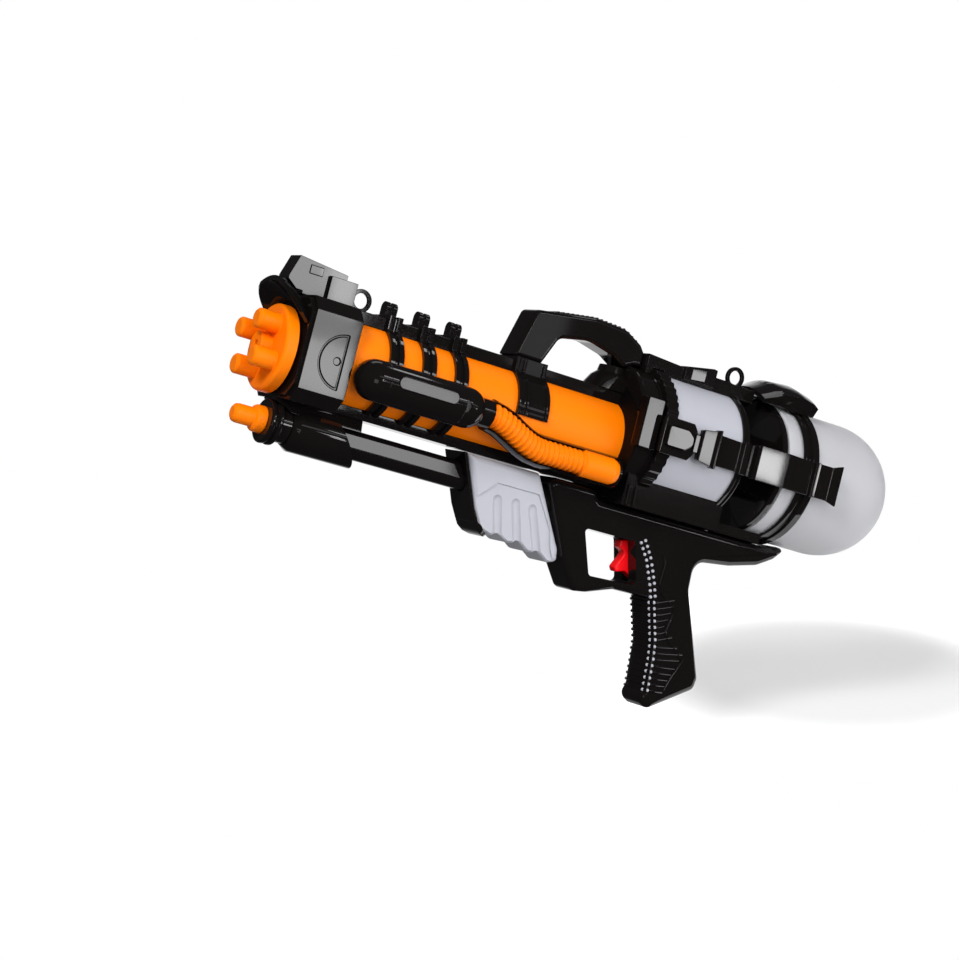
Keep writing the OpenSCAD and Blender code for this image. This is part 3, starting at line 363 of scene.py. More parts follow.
class SquirterFinish(bpy.types.PropertyGroup):
    """Colours of the materials"""

    black: bpy.props.FloatVectorProperty(
        name="Black", description="Polished black parts", subtype="COLOR", default=linear("#100d0d")
    )
    orange: bpy.props.FloatVectorProperty(
        name="Orange", description="Barrel, nozzle, hoses", subtype="COLOR", default=linear("#fb7b00")
    )
    grey: bpy.props.FloatVectorProperty(
        name="Light grey", description="Pump grip and drum", subtype="COLOR", default=linear("#b0b1ba")
    )
    red: bpy.props.FloatVectorProperty(
        name="Red", description="Trigger", subtype="COLOR", default=linear("#fb0c16")
    )
    frosted: bpy.props.FloatVectorProperty(
        name="Frosted", description="Water tank", subtype="COLOR", default=linear("#d1d1d8")
    )
    rubber: bpy.props.FloatVectorProperty(
        name="Rubber", description="Seals", subtype="COLOR", default=linear("#080808")
    )
    steel: bpy.props.FloatVectorProperty(
        name="Steel", description="Pins and screws", subtype="COLOR", default=linear("#a8aaad")
    )


class SquirterSizes(bpy.types.PropertyGroup):
    """Sizes of the moulded detail"""

    edge: bpy.props.FloatProperty(
        name="Edge round", description="Round on sharp edges", default=0.0009, unit="LENGTH"
    )
    rib_pitch: bpy.props.FloatProperty(
        name="Grip rib pitch", description="Distance between grip ribs", default=0.0057, unit="LENGTH"
    )
    rib: bpy.props.FloatProperty(
        name="Grip rib radius", description="Radius of a grip rib", default=0.0012, unit="LENGTH"
    )
    dot: bpy.props.FloatProperty(
        name="Grip dot", description="Radius of a grip dot", default=0.0016, unit="LENGTH"
    )
    hose_pitch: bpy.props.FloatProperty(
        name="Hose pitch", description="Distance between hose ridges", default=0.0052, unit="LENGTH"
    )


# Outlines of the moulded parts as (x, z, corner radius) in mm on the barrel's scale, anticlockwise
BODY_SHAPE = [
    (271.4, -43.5, 7), (309.4, -115.5, 14), (325.4, -136.5, 8), (341.4, -134.5, 30),
    (368.4, -126, 12), (408.4, -125.5, 5), (422.4, -164.7, 30), (426.4, -206.5, 7),
    (421.4, -215.5, 8), (435.4, -223.5, 8), (481.4, -196.5, 8), (482.9, -185.5, 8),
    (449.9, -109.5, 16), (448.4, -82.5, 12), (487.4, -77.9, 20), (518, -70.5, 20),
    (535, -61, 8), (546.5, -49, 3), (536, -48.8, 2), (531, -51.9, 2),
    (330.4, -51.9, 3), (326.4, -43.5, 7),
]
GUARD_SHAPE = [(321.4, -79.5, 3), (337.4, -119.5, 4), (389.4, -117.5, 4), (377.4, -79.5, 3)]
PUMP_SHAPE = [
    (187.9, -44, 2), (207.4, -88, 20), (217.9, -104.5, 10), (230.4, -108, 5), (235.4, -104, 4),
    (247.4, -110, 5), (254.4, -109, 2.5), (257.4, -105.5, 2.5), (269.4, -113, 5), (275.4, -113, 4),
    (279.4, -110, 3), (292.4, -118, 5), (302.4, -115, 4), (300.4, -104, 8), (263.4, -44, 3),
]
PUMP_PANEL = [
    (195, -78.5, 1), (195, -130, 1), (305, -130, 1), (291, -105, 3), (286.4, -90, 10),
    (266.5, -62, 2), (222.4, -62, 2), (205.5, -78.5, 1),
]
TRIGGER_SHAPE = [
    (380.4, -64, 4), (378.4, -79, 2), (370.4, -81, 2), (370.4, -87, 2), (378.4, -91, 3),
    (370.4, -106, 2), (373.4, -110, 2), (383.4, -107, 8), (395.4, -114, 3), (399.9, -107, 3),
    (392.4, -86, 6), (395.4, -76, 4), (394.4, -64, 5),
]
HANDLE_SHAPE = [
    (209.4, 48.5, 1), (239.4, 48.5, 1), (251.4, 74.5, 9), (281.4, 80.5, 30), (309.4, 74.5, 20),
    (322.4, 67.5, 4), (333.4, 72.3, 4), (340.9, 72.3, 1), (340.9, 85, 3), (335.4, 91.5, 6),
    (317.4, 100.5, 20), (285.4, 102, 40), (221.4, 92.5, 6),
]
BUCKLE_PAD = [
    (347, 6.5, 3), (368, 6.5, 5), (375.5, 12, 5), (375.5, 20, 5), (368, 25.5, 5), (347, 25.5, 3),
]
# Half widths of the lower body and the pump grip, with the rounds of their edges
BODY_HALF, BODY_EDGE = 18.0, 6.0
PUMP_HALF, PUMP_EDGE = 19.0, 6.0
# Finger grooves of the pump grip as lines of (x, z), from the panel's top to past its lower edge
PUMP_GROOVES = [((226, -71), (238, -114)), ((244.5, -70), (259.5, -115)), ((262, -71), (282, -119))]
# Front edge of the pistol grip as (x, z) downwards, and the zig-zag line on its side
GRIP_FRONT = [
    (383.5, -79), (393.8, -93), (404, -114), (409, -127), (415.8, -147), (421.5, -163.5),
    (424, -180), (426, -207),
]
GRIP_ZIGZAG = [
    (409, -83), (414.9, -91), (413.9, -109.6), (418.5, -118), (437.3, -130.2), (432.3, -151),
    (435.3, -156.2), (459, -173), (450, -191.4), (446, -203),
]
# Runs of a side strap from the front, as sections (x, outer y, inner y, low z, high z)
STRAP_RUNS = [
    # Buckle plate on the collar
    [
        (342.6, 67.2, 64, 2.5, 29.5), (344, 68.4, 64, -0.5, 32.5), (376, 66.0, 64, -0.5, 32.5),
        (380, 65.8, 64, 4, 28), (382, 65.6, 64, 8, 24),
    ],
    # Link behind it
    [(379, 67.5, 64.5, 8, 24), (387, 67.5, 64.5, 8, 24)],
    # Block with a lip
    [
        (384, 68.5, 64.5, 3, 29), (385.5, 69.9, 64.5, 2, 30), (399, 69.9, 64.5, 0, 32),
        (401, 72.2, 64.5, -1.5, 33.5), (403, 72.4, 64.5, -1.6, 33.6), (405, 68.0, 64.5, -0.5, 32.5),
    ],
    # Band along the drum, with a step
    [
        (403, 67.6, 63.2, 2, 30), (431, 64.6, 62.6, 2.5, 29.5), (433.5, 67.4, 62.6, 1.5, 30.5),
        (440.5, 66.6, 62.6, 1.5, 30.5), (443, 64.6, 62.6, 2, 30), (449, 66, 62.6, 1.2, 30.8),
    ],
    # Long plate over the tank ring, with a flared end
    [
        (446.5, 71.5, 65.0, 1, 31), (448, 73.2, 65.0, 0.2, 31.8), (480, 73.2, 66.0, 0.2, 31.8),
        (481.5, 73.0, 68.0, 0.2, 31.8), (511, 70.2, 68.0, 0.6, 31.4), (512, 73.4, 68.2, 0, 32),
        (516, 73.9, 69.0, 0, 32), (518, 73.6, 69.9, 0.4, 31.6), (532, 73.4, 71.4, 0.4, 31.6),
        (536, 76.4, 74.2, -1.5, 33.5), (540, 77.8, 75.6, -2.8, 34.8),
    ],
]
# Height of the pump's guide tube, and the axis of the side canisters
TUBE_Z = -64.0
CANISTER_Y, CANISTER_Z = 46, -10


class SQUIRTER_OT_hood(bpy.types.Operator):
    """Shapes the flared hood over the nozzle, which narrows towards its front"""

    bl_idname = "squirter.hood"
    bl_label = "Hood"

    def execute(self, context):
        front, back, wall, steps, turns = -20.0, 3.3, 4.0, 14, 40
        # Radius and half angle at the front, and how much they change towards the back
        front_radius, radius_loss = 53, 11
        front_angle, angle_gain = 27, 35
        rings = []
        for k in range(steps + 1):
            share = k / steps
            x = front + (back - front) * share
            reach = front_radius - radius_loss * share**1.3
            half = math.radians(front_angle + angle_gain * share**0.6)
            ring = []
            for radius, way in ((reach, 1), (reach - wall, -1)):
                for i in range(turns + 1):
                    a = way * half * (2 * i / turns - 1)
                    ring.append(at(x, radius * math.sin(a), radius * math.cos(a)))
            rings.append(ring)
        soften(piece("hood_skin", loft(rings), "black_plastic", "frame", ("hood",)), 1.4 * MM)
        return {"FINISHED"}


class SQUIRTER_OT_solids(bpy.types.Operator):
    """Gives every solid its material and rounded edges"""

    bl_idname = "squirter.solids"
    bl_label = "Dress the solids"

    def execute(self, context):
        edge = context.scene.squirter_sizes.edge
        slots = {s["node"]: s["material_slot"] for s in frame["record"]["subparts"]}
        small = {"valve_spring", "body_screws", "water_tubes", "piston_seal", "nozzle_seal"}
        small_share = 0.3
        for name, obj in frame["nodes"].items():
            obj.data.materials.clear()
            obj.data.materials.append(materials()[slots[name]])
            normals = obj.data.attributes.get("custom_normal")
            if normals:
                obj.data.attributes.remove(normals)
            # Doubled corners and splits in flat faces go, so that the rounds run clean.
            weld = obj.modifiers.new("weld", "WELD")
            weld.merge_threshold = 0.01 * MM
            flat = obj.modifiers.new("flat", "DECIMATE")
            flat.decimate_type, flat.angle_limit = "DISSOLVE", math.radians(0.6)
            soften(obj, edge * (small_share if name in small else 1.0))
        return {"FINISHED"}


class SQUIRTER_OT_lower_body(bpy.types.Operator):
    """Moulds the two halves of the lower body with the guard opening"""

    bl_idname = "squirter.lower_body"
    bl_label = "Lower body"

    def execute(self, context):
        for side, name in ((-1, "body_left"), (1, "body_right")):
            shell = pillow(BODY_SHAPE, BODY_HALF, BODY_EDGE, side, 8, 8)
            skin = piece(f"{name}_skin", shell, "black_plastic", "frame", (name,))
            # Opening inside the guard
            y0, y1 = sorted((-side, 30 * side))
            carve(skin, loft([[at(p.x, y, p.y) for p in rounded(GUARD_SHAPE)] for y in (y0, y1)]))
            # Pocket in which the trigger swings
            y0, y1 = sorted((-side, 5.5 * side))
            carve(skin, brick((373.4, y0, -115.5), (412.4, y1, -56)))
            soften(skin, 1.6 * MM)
        return {"FINISHED"}


class SQUIRTER_OT_grip_texture(bpy.types.Operator):
    """Adds the ribs, the rows of dots and the zig-zag line of the pistol grip"""

    bl_idname = "squirter.grip_texture"
    bl_label = "Grip texture"

    def execute(self, context):
        sizes = context.scene.squirter_sizes
        guard_z, line_radius, shortest_rib = -126, 1.3 * MM, 12.0
        ribs, dots, lines = [], [], []
        for spot, ahead in along(GRIP_FRONT, sizes.rib_pitch / MM):
            back = Vector((-ahead.y, ahead.x))
            on_guard = spot.y > guard_z
            for side in (-1, 1):
                # Two rows of dots: round the edge of the grip, or side by side on the guard
                for turn, depth in ((0.42, 0.0), (1.2, 5.0)):
                    y = BODY_HALF
                    if not on_guard:
                        depth = BODY_EDGE * (1 - math.cos(turn))
                        y = BODY_HALF - BODY_EDGE * (1 - math.sin(turn))
                    where = spot + back * depth
                    ball = bmesh.new()
                    bmesh.ops.create_icosphere(ball, subdivisions=2, radius=sizes.dot)
                    bmesh.ops.translate(ball, verts=ball.verts, vec=at(where.x, side * y, where.y))
                    dots.append(ball)
            if on_guard:
                continue
            # A rib runs round the front edge and ends at the zig-zag line on both sides.
            reach = max(shortest_rib, (edge_at(GRIP_ZIGZAG, spot.y) - spot.x) * 0.97)
            half = [(reach, -BODY_HALF)]
            for k in range(7):
                a = math.pi / 2 * k / 6
                y = -BODY_HALF + BODY_EDGE * (1 - math.cos(a))
                half.append((BODY_EDGE * (1 - math.sin(a)), y))
            path = half + [(d, -y) for d, y in reversed(half)]
            path = [at(spot.x + back.x * d, y, spot.y + back.y * d) for d, y in path]
            ribs.append(tube(path, [sizes.rib] * len(path), 10))
        for side in (-1, 1):
            line = [at(x, side * BODY_HALF, z) for x, z in GRIP_ZIGZAG]
            lines.append(tube(line, [line_radius] * len(line), 10))
        soften(piece("grip_ribs", merge(ribs + lines), "black_plastic", "frame"), 0)
        # The dots take the light grey plastic as a painted highlight: pale colour in place of the
        # glints on small raised black dots.
        soften(piece("grip_dots_painted_highlight", merge(dots), "grey_plastic", "frame"), 0)
        return {"FINISHED"}


class SQUIRTER_OT_pump_grip(bpy.types.Operator):
    """Moulds the pump grip with its sunk panel and finger grooves"""

    bl_idname = "squirter.pump_grip"
    bl_label = "Pump grip"

    def execute(self, context):
        sunk, bore_radius = 1.5, 12.9
        groove_length, groove_radius, groove_end, groove_out = 45, 5.5, 5.0, 1.7
        for side, name in ((-1, "pump_grip_left"), (1, "pump_grip_right")):
            shell = pillow(PUMP_SHAPE, PUMP_HALF, PUMP_EDGE, side, 8, 6)
            skin = piece(f"{name}_skin", shell, "grey_plastic", "pump", (name,))
            face = side * PUMP_HALF
            layers = [(face - sunk * side, 0.5), (face - (sunk - 0.4) * side, 0), (face + 3 * side, 0)]
            rings = [[at(p.x, y, p.y) for p in rounded(inset(PUMP_PANEL, d))] for y, d in layers]
            carve(skin, loft(rings))
            # Grooves with a rounded upper end, cut by bars whose middle lies outside the face
            for (x0, z0), (x1, z1) in PUMP_GROOVES:
                path, radii = [], []
                for d in (0, 0.3, 1.0, 2.2, 3.6, groove_end, groove_length):
                    share = d / groove_length
                    y = face + groove_out * side
                    path.append(at(x0 + (x1 - x0) * share, y, z0 + (z1 - z0) * share))
                    round_end = math.sqrt(max(0.004, 1 - (1 - min(1, d / groove_end)) ** 2))
                    radii.append(groove_radius * round_end * MM)
                carve(skin, tube(path, radii, 32))
            bore = [at(x, 0, TUBE_Z) for x in (150, 330)]
            carve(skin, tube(bore, [bore_radius * MM] * 2, 64))
            soften(skin, 0.8 * MM)
        return {"FINISHED"}


class SQUIRTER_OT_pump_toe(bpy.types.Operator):
    """Carries the black front plate round the toe of the pump grip, partly the real black front and
    partly painted shade
    """

    bl_idname = "squirter.pump_toe"
    bl_label = "Pump toe"

    def execute(self, context):
        # Sections along the toe: outer (x, z), inner (x, z) and half width
        toe = [
            ((211.2, -100.1), (215, -99.6), 18.0), ((214.2, -104.6), (219, -101.5), 17.8),
            ((219.0, -108.4), (223, -104.5), 16.0), ((225.0, -110.2), (227, -106.5), 12.5),
            ((229.0, -110.0), (230, -107.5), 8.0),
        ]
        rings = []
        for (x0, z0), (x1, z1), half in toe:
            corners = ((x0, -half, z0), (x0, half, z0), (x1, half, z1), (x1, -half, z1))
            rings.append([at(*corner) for corner in corners])
        # On the toe this black plate is partly painted shade: a dark sheet where the rounded toe of the
        # grey grip falls into shade.
        soften(piece("pump_toe", loft(rings), "black_plastic", "pump"), 0.8 * MM)
        return {"FINISHED"}


class SQUIRTER_OT_trigger(bpy.types.Operator):
    """Moulds the two-finger trigger"""

    bl_idname = "squirter.trigger"
    bl_label = "Trigger"

    def execute(self, context):
        half, edge = 5.0, 1.5
        shell = pillow(TRIGGER_SHAPE, half, edge, 0, 6, 4)
        soften(piece("trigger_skin", shell, "red_plastic", "trigger", ("trigger",)), 0)
        return {"FINISHED"}


class SQUIRTER_OT_hoses(bpy.types.Operator):
    """Sweeps the corrugated side hoses from the canisters to the collar"""

    bl_idname = "squirter.hoses"
    bl_label = "Hoses"

    def execute(self, context):
        pitch = context.scene.squirter_sizes.hose_pitch / MM
        start, end, steps = 181.9, 321.4, 215
        # The hose leaves the canister on its axis and bends inwards and down.
        bend_start, bend_length, inwards, down = 181.4, 62, 5, 17
        ridge, groove_depth = 11.0, 1.8
        # Its plain end sleeve narrows over the last few millimetres.
        sleeve_length, sleeve_radius, taper_length = 36.0, 12.0, 5
        for side, name in ((-1, "hose_left"), (1, "hose_right")):
            path, radii = [], []
            for k in range(steps + 1):
                x = start + (end - start) * k / steps
                t = min(1.0, max(0.0, (x - bend_start) / bend_length))
                t = t * t * (3 - 2 * t)
                path.append(at(x, side * (CANISTER_Y - inwards * t), CANISTER_Z - down * t))
                wave = 0.5 - 0.5 * math.cos(2 * math.pi * (x - start) / pitch)
                radius = ridge - groove_depth * wave**0.7
                if end - x <= sleeve_length:
                    radius = sleeve_radius - 0.4 * max(0.0, taper_length - (end - x))
                radii.append(radius * MM)
            soften(piece(f"{name}_skin", tube(path, radii, 40), "orange_plastic", "frame", (name,)), 0)
        return {"FINISHED"}


class SQUIRTER_OT_carry_handle(bpy.types.Operator):
    """Moulds the carry handle with the ribs on its top"""

    bl_idname = "squirter.carry_handle"
    bl_label = "Carry handle"

    def execute(self, context):
        half, edge = 14.0, 3.5
        shell = pillow(HANDLE_SHAPE, half, edge, 0, 8, 5)
        soften(piece("carry_handle_skin", shell, "black_plastic", "frame", ("carry_handle",)), 0)
        first_rib, rib_pitch, rib_count, sunk = 246, 5.0, 18, 0.4
        # Half a rib as (y, radius), with a rounded end
        rib_half = [(-10.5, 0.6), (-9.5, 1.7)]
        rib = rib_half + [(-y, radius) for y, radius in reversed(rib_half)]
        points = rounded(HANDLE_SHAPE, 8)
        ribs = []
        for k in range(rib_count):
            x = first_rib + rib_pitch * k
            top = max(
                p.y + (q.y - p.y) * (x - p.x) / (q.x - p.x)
                for p, q in zip(points, points[1:] + points[:1])
                if min(p.x, q.x) <= x <= max(p.x, q.x) and abs(p.x - q.x) > 1e-6
            )
            path = [at(x, y, top - sunk) for y, radius in rib]
            ribs.append(tube(path, [radius * MM for y, radius in rib], 12))
        soften(piece("handle_ribs", merge(ribs), "black_plastic", "frame"), 0)
        return {"FINISHED"}


class SQUIRTER_OT_side_straps(bpy.types.Operator):
    """Shapes the side straps with their buckles and flared ends"""

    bl_idname = "squirter.side_straps"
    bl_label = "Side straps"

    def execute(self, context):
        for side, name in ((-1, "side_strap_left"), (1, "side_strap_right")):
            parts = [bar(run, side) for run in STRAP_RUNS]
            parts.append(raised(BUCKLE_PAD, side, 66.0, 71.6, 1.2))
            soften(piece(f"{name}_skin", merge(parts), "black_plastic", "frame", (name,)), 0.8 * MM, 30)
        return {"FINISHED"}


class SQUIRTER_OT_pump_tube(bpy.types.Operator):
    """Shapes the guide tube with the flats on its upper flanks and the slot of the drive pin"""

    bl_idname = "squirter.pump_tube"
    bl_label = "Guide tube"

    def execute(self, context):
        outer, bore, sides = 12.5, 10.5, 128
        # Distance of the flats from the axis, and the angles they face
        flat_reach, flanks = 10.95, (math.radians(15), math.radians(165))
        rings = []
        for x in (61.4, 365.4):
            ring = []
            for k in range(sides):
                turn = 2 * math.pi * k / sides
                reach = outer
                for flank in flanks:
                    facing = math.cos(turn - flank)
                    if facing > 0:
                        reach = min(reach, flat_reach / facing)
                ring.append(at(x, -reach * math.cos(turn), TUBE_Z + reach * math.sin(turn)))
            rings.append(ring)
        skin = piece("pump_tube_skin", loft(rings), "black_plastic", "frame", ("pump_tube",))
        carve(skin, tube([at(x, 0, TUBE_Z) for x in (60, 367)], [bore * MM] * 2, 64))
        carve(skin, brick((130.9, -2.9, TUBE_Z), (219.9, 2.9, -40)))
        soften(skin, 0.4 * MM)
        return {"FINISHED"}


class SQUIRTER_OT_gasket(bpy.types.Operator):
    """Adds the dished gasket behind the barrel, with a tongue on each side"""

    bl_idname = "squirter.gasket"
    bl_label = "Barrel gasket"

    def execute(self, context):
        profile = [(325.6, 36.9), (325.6, 38.4), (327.2, 53.5), (327.35, 53.5), (327.35, 36.9)]
        tongues = [brick((325.6, y, 0.8), (326.3, y + 9, 44.2)) for y in (-59.2, 50.2)]
        shell = merge([turned(profile), *tongues])
        soften(piece("barrel_gasket", shell, "seal_rubber", "frame"), 0.2 * MM)
        return {"FINISHED"}


class SQUIRTER_OT_sleeve_web(bpy.types.Operator):
    """Closes the gap between the slanted sleeve and the front block by a web with leaning sides"""

    bl_idname = "squirter.sleeve_web"
    bl_label = "Sleeve web"

    def execute(self, context):
        top_z, top_half, lean = -41, 11, math.radians(15)
        # Sections from the front: x, high z and low z
        sections = (
            (4, -43.7, -46), (13.5, -43.7, -49), (20, -41, -53), (84, -41, -53), (86, -42, -53),
        )
        rings = []
        for x, high, low in sections:
            flank = [(top_half + (top_z - z) * math.tan(lean), z) for z in (high, low)]
            rings.append([at(x, -y, z) for y, z in flank] + [at(x, y, z) for y, z in reversed(flank)])
        soften(piece("sleeve_web", loft(rings), "black_plastic", "frame"), 0.5 * MM)
        return {"FINISHED"}


class SQUIRTER_OT_flats(bpy.types.Operator):
    """Adds the flats of the collar, canisters and spine stud, and the ridges of the saddle"""

    bl_idname = "squirter.flats"
    bl_label = "Moulded flats"

    def execute(self, context):
        collar_flat = [(326.2, 0, 2), (344, 0, 2), (344, 45, 2), (326.2, 45, 2)]
        window = [(83, -12.2, 5.3), (141, -12.2, 5.3), (141, -1.2, 5.3), (83, -1.2, 5.3)]
        # Band round a canister as (x, radius)
        band = [(76, 17.3), (77, 17.75), (149, 17.75), (150, 17.3)]
        stud_face = [(389, 74.5), (404.5, 76), (404.5, 87), (389, 84.5)]
        stud_inner, stud_outer, stud_low, stud_lean = 22.0, 23.2, 74, 0.029
        parts = []
        for side in (-1, 1):
            parts.append(raised(collar_flat, side, 48.0, 60.0, 0.8))
            path = [at(x, side * CANISTER_Y, CANISTER_Z) for x, radius in band]
            parts.append(tube(path, [radius * MM for x, radius in band], 96))
            parts.append(raised(window, side, 58.0, 64.4, 0.8))
            for x in (341, 348.5):
                ridge = [(x, -52, 1.5), (x + 5, -52, 1.5), (x + 4, -33, 1.5), (x - 1, -33, 1.5)]
                parts.append(raised(ridge, side, 36.0, 42.0, 1.2))
            # The face of the spine's stud leans out with its height.
            rings = [[at(x, side * stud_inner, z) for x, z in stud_face], []]
            for x, z in stud_face:
                rings[1].append(at(x, side * (stud_outer + stud_lean * (z - stud_low)), z))
            parts.append(loft(rings))
        soften(piece("moulded_flats", merge(parts), "black_plastic", "frame"), 0.4 * MM)
        return {"FINISHED"}


# Strip boxes that flat black faces mirror, beside the camera in a plane across Y:
# name, x range and z range in metres, and brightness
STRIP_Y = -2.2
STRIPS = (
    ("strip_block", (0.46, 0.68), (0.25, 0.37), 8.0),
    ("strip_block_top", (0.46, 0.68), (0.37, 0.44), 4.2),
    ("strip_sight", (0.46, 0.60), (0.44, 0.62), 7.0),
    ("strip_foot", (0.60, 0.675), (0.44, 0.62), 11.0),
    ("strip_canister", (0.73, 0.90), (0.30, 0.36), 6.0),
    ("strip_collar", (1.27, 1.365), (0.33, 0.46), 7.0),
    ("strip_buckle", (1.365, 1.54), (0.33, 0.435), 9.0),
    ("strip_patch", (1.54, 1.70), (0.34, 0.43), 15.0),
    ("strip_handle", (1.03, 1.14), (0.44, 0.60), 0.6),
    ("strip_tube", (0.74, 1.20), (1.38, 1.64), 5.0),
    ("strip_high", (-0.3, 2.2), (0.95, 1.2), 0.9),
)


class SQUIRTER_OT_stage(bpy.types.Operator):
    """Sets the floor, the soft boxes and the camera at the photograph's angle"""

    bl_idname = "squirter.stage"
    bl_label = "Stage"

    def execute(self, context):
        scene = context.scene
        scene.view_settings.view_transform = "Standard"
        yaw, rise, roll = math.radians(30), math.radians(-2.5), math.radians(14.3)
        run = math.cos(rise)
        ahead = Vector((math.sin(yaw) * run, math.cos(yaw) * run, -math.sin(rise)))
        level_right = Vector((math.cos(yaw), -math.sin(yaw), 0))
        level_up = level_right.cross(ahead)
        right = math.cos(roll) * level_right + math.sin(roll) * level_up
        up = math.cos(roll) * level_up - math.sin(roll) * level_right
        # The floor is level in the picture and seen from a little above.
        tip = math.radians(11)
        upright = math.cos(tip) * up - math.sin(tip) * ahead
        self.camera(scene, ahead, right, up)
        self.floor(scene, ahead, right, upright)
        self.world(scene, ahead)
        self.lamps(ahead, right, upright)
        return {"FINISHED"}

    def camera(self, scene, ahead, right, up):
        """Camera with the photograph's lens, place and tilt."""
        data = bpy.data.cameras.new("camera")
        data.lens, data.sensor_width = 82.5, 36.0
        data.clip_start, data.clip_end = 0.05, 50.0
        camera = bpy.data.objects.new("camera", data)
        place = Matrix((right, up, -ahead)).transposed().to_4x4()
        place.translation = (-1.1777, -1.6517, 0.0051)
        camera.matrix_world = place
        scene.collection.objects.link(camera)
        scene.camera = camera

    def floor(self, scene, ahead, right, upright):
        """Oval of paper under the lowest corner of the grip, set back for the shadow."""
        half_width, half_depth, back, aside = 0.30, 0.36, 0.27, 0.17
        low = min(v.co.dot(upright) for o in frame["nodes"].values() for v in o.data.vertices)
        bm = bmesh.new()
        bmesh.ops.create_circle(bm, cap_ends=True, segments=96, radius=1.0)
        mesh = bpy.data.meshes.new("floor")
        bm.to_mesh(mesh)
        bm.free()
        floor = bpy.data.objects.new("floor", mesh)
        foot = Vector((0.04, 0.0, 0.0))
        foot += upright * (low - foot.dot(upright))
        centre = Matrix.Translation(foot + ahead * back + right * aside)
        axes = Matrix((right, upright.cross(right), upright)).transposed().to_4x4()
        floor.matrix_world = centre @ axes @ Matrix.Diagonal((half_width, half_depth, 1.0, 1.0))
        scene.collection.objects.link(floor)
        mesh.materials.append(self.paper())

    def paper(self):
        """Material of the floor, whose glow fades in towards its rim."""
        # Matt white paper: glows for the eye so that it stays white, and keeps a soft shadow.
        material = bpy.data.materials.new("Paper_matt_white")
        material.use_nodes = True
        tree = material.node_tree
        tree.nodes.clear()
        path = add_node(tree, "ShaderNodeLightPath").outputs
        seen = path["Is Camera Ray"]
        for kind in ("Is Glossy Ray", "Is Transmission Ray"):
            links = {0: seen, 1: path[kind]}
            seen = add_node(tree, "ShaderNodeMath", {"operation": "MAXIMUM"}, links).outputs[0]
        where = add_node(tree, "ShaderNodeTexCoord").outputs["Object"]
        out = add_node(tree, "ShaderNodeVectorMath", {"operation": "LENGTH"}, {0: where})
        fade = add_node(
            tree,
            "ShaderNodeMapRange",
            {
                "interpolation_type": "SMOOTHSTEP",
                "From Min": 0.45,
                "From Max": 0.97,
                "To Min": 0.08,
                "To Max": 1.0,
            },
            {"Value": out.outputs["Value"]},
        )
        links = {0: seen, 1: fade.outputs["Result"]}
        glow = add_node(tree, "ShaderNodeMath", {"operation": "MULTIPLY"}, links)
        shine = add_node(tree, "ShaderNodeEmission", {}, {"Strength": glow.outputs[0]})
        sheet = add_node(tree, "ShaderNodeBsdfDiffuse", {"Color": (0.75, 0.75, 0.75, 1)})
        both = add_node(tree, "ShaderNodeAddShader", {}, {0: shine.outputs[0], 1: sheet.outputs[0]})
        add_node(tree, "ShaderNodeOutputMaterial", {}, {"Surface": both.outputs[0]})
        return material

    def world(self, scene, ahead):
        """White behind the squirter, a dim room on the camera's side, and even fill light."""
        fill = 0.33
        world = bpy.data.worlds.new("studio")
        scene.world = world
        world.use_nodes = True
        tree = world.node_tree
        tree.nodes.clear()
        where = add_node(tree, "ShaderNodeTexCoord").outputs["Generated"]
        settings = {"operation": "DOT_PRODUCT", 1: tuple(ahead)}
        facing = add_node(tree, "ShaderNodeVectorMath", settings, {0: where})
        # What gloss mirrors: white straight ahead, and next to dark elsewhere
        room = add_node(
            tree,
            "ShaderNodeMapRange",
            {
                "interpolation_type": "SMOOTHSTEP",
                "From Min": 0.75,
                "From Max": 0.99,
                "To Min": 0.035,
                "To Max": 1.0,
            },
            {"Value": facing.outputs["Value"]},
        )
        path = add_node(tree, "ShaderNodeLightPath").outputs
        links = {0: path["Is Glossy Ray"], 1: path["Is Transmission Ray"]}
        mirrored = add_node(tree, "ShaderNodeMath", {"operation": "MAXIMUM"}, links)
        links = {0: mirrored.outputs[0], 3: room.outputs["Result"]}
        bright = add_node(tree, "ShaderNodeMix", {"data_type": "FLOAT", 2: fill}, links)
        links = {0: path["Is Camera Ray"], 1: bright.outputs[0]}
        bright = add_node(tree, "ShaderNodeMath", {"operation": "MAXIMUM"}, links)
        links = {"Strength": bright.outputs[0]}
        light = add_node(tree, "ShaderNodeBackground", {"Color": (1, 1, 1, 1)}, links)
        add_node(tree, "ShaderNodeOutputWorld", {}, {"Surface": light.outputs[0]})

    def lamps(self, ahead, right, upright):
        """Strips and soft boxes that the gloss mirrors, and fills for the colours alone."""
        for name, (x0, x1), (z0, z1), bright in STRIPS:
            spot = Vector(((x0 + x1) / 2, STRIP_Y, (z0 + z1) / 2))
            self.lamp(name, spot, Vector((0, 1, 0)), (x1 - x0, z1 - z0), bright)
        toy = at(300, 0, -20)
        # Overhead strip that the upper bevel of the front block mirrors
        self.lamp("box_upper", Vector((0.74, 0.05, 2.25)), Vector((0, 0, -1)), (0.1, 0.4), 4.0)
        # Soft box behind the camera, which rounded edges and domes mirror
        self.lamp("box_front", Vector((-0.85, -2.4, -0.2)), toy, (0.9, 0.8), 1.0, aim=True)
        # Soft box overhead, which the tops of the black parts mirror
        self.lamp("box_top", Vector((-0.1, 0.9, 2.6)), toy, (1.5, 0.6), 1.2, aim=True)
        # Large fills, which the gloss doesn't mirror
        for name, spot, size, bright in (
            ("fill_front", Vector((-0.5, -2.45, 0.6)), 1.6, 4.0),
            ("fill_left", ahead * -2.0 + upright * 1.6 - right * 0.9, 0.75, 29.0),
            ("fill_right", Vector((1.7, -1.5, -0.15)), 1.2, 4.4),
            ("fill_back", Vector((0.3, 2.3, 1.3)), 1.4, 6.5),
        ):
            self.lamp(name, toy + spot, toy, (size, size), bright, aim=True, mirrored=False)

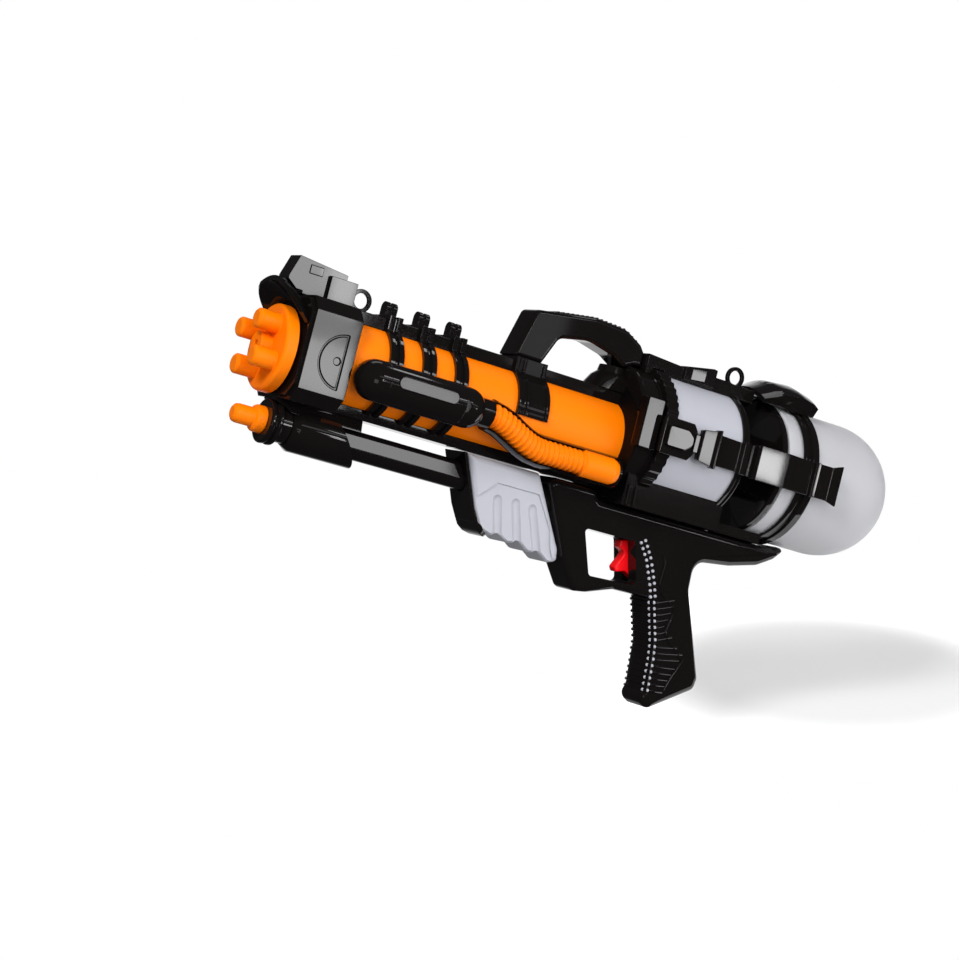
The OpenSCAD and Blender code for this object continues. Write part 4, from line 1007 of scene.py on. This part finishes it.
    def lamp(self, name, spot, way, size, bright, aim=False, mirrored=True):
        """Area lamp of a brightness, facing a way or aimed at a point."""
        data = bpy.data.lights.new(name, "AREA")
        data.shape, data.size, data.size_y = "RECTANGLE", *size
        data.energy = math.pi * size[0] * size[1] * bright
        obj = bpy.data.objects.new(name, data)
        obj.location = spot
        obj.rotation_mode = "QUATERNION"
        obj.rotation_quaternion = (way - spot if aim else way).to_track_quat("-Z", "Y")
        obj.visible_camera, obj.visible_glossy = False, mirrored
        bpy.context.scene.collection.objects.link(obj)


class SQUIRTER_PT_panel(bpy.types.Panel):
    """Steps that build the looks, with their sizes and colours"""

    bl_label = "Squirter"
    bl_idname = "SQUIRTER_PT_panel"
    bl_space_type = "VIEW_3D"
    bl_region_type = "UI"
    bl_category = "Squirter"

    def draw(self, context):
        for group in (context.scene.squirter_finish, context.scene.squirter_sizes):
            for key in group.__annotations__:
                self.layout.prop(group, key)
        for step in STEPS:
            self.layout.operator(step.bl_idname)


STEPS = (
    SQUIRTER_OT_stage,
    SQUIRTER_OT_solids,
    SQUIRTER_OT_hood,
    SQUIRTER_OT_lower_body,
    SQUIRTER_OT_grip_texture,
    SQUIRTER_OT_pump_grip,
    SQUIRTER_OT_pump_toe,
    SQUIRTER_OT_trigger,
    SQUIRTER_OT_hoses,
    SQUIRTER_OT_carry_handle,
    SQUIRTER_OT_side_straps,
    SQUIRTER_OT_pump_tube,
    SQUIRTER_OT_gasket,
    SQUIRTER_OT_sleeve_web,
    SQUIRTER_OT_flats,
)
CLASSES = (SquirterFinish, SquirterSizes, *STEPS, SQUIRTER_PT_panel)


def register():
    for cls in CLASSES:
        bpy.utils.register_class(cls)
    bpy.types.Scene.squirter_finish = bpy.props.PointerProperty(type=SquirterFinish)
    bpy.types.Scene.squirter_sizes = bpy.props.PointerProperty(type=SquirterSizes)


def unregister():
    del bpy.types.Scene.squirter_sizes
    del bpy.types.Scene.squirter_finish
    for cls in reversed(CLASSES):
        bpy.utils.unregister_class(cls)


def main():
    register()
    bpy.ops.squirter.stage()
    bpy.ops.squirter.solids()
    bpy.ops.squirter.hood()
    bpy.ops.squirter.lower_body()
    bpy.ops.squirter.grip_texture()
    bpy.ops.squirter.pump_grip()
    bpy.ops.squirter.pump_toe()
    bpy.ops.squirter.trigger()
    bpy.ops.squirter.hoses()
    bpy.ops.squirter.carry_handle()
    bpy.ops.squirter.side_straps()
    bpy.ops.squirter.pump_tube()
    bpy.ops.squirter.gasket()
    bpy.ops.squirter.sleeve_web()
    bpy.ops.squirter.flats()


if __name__ == "__main__":
    main()
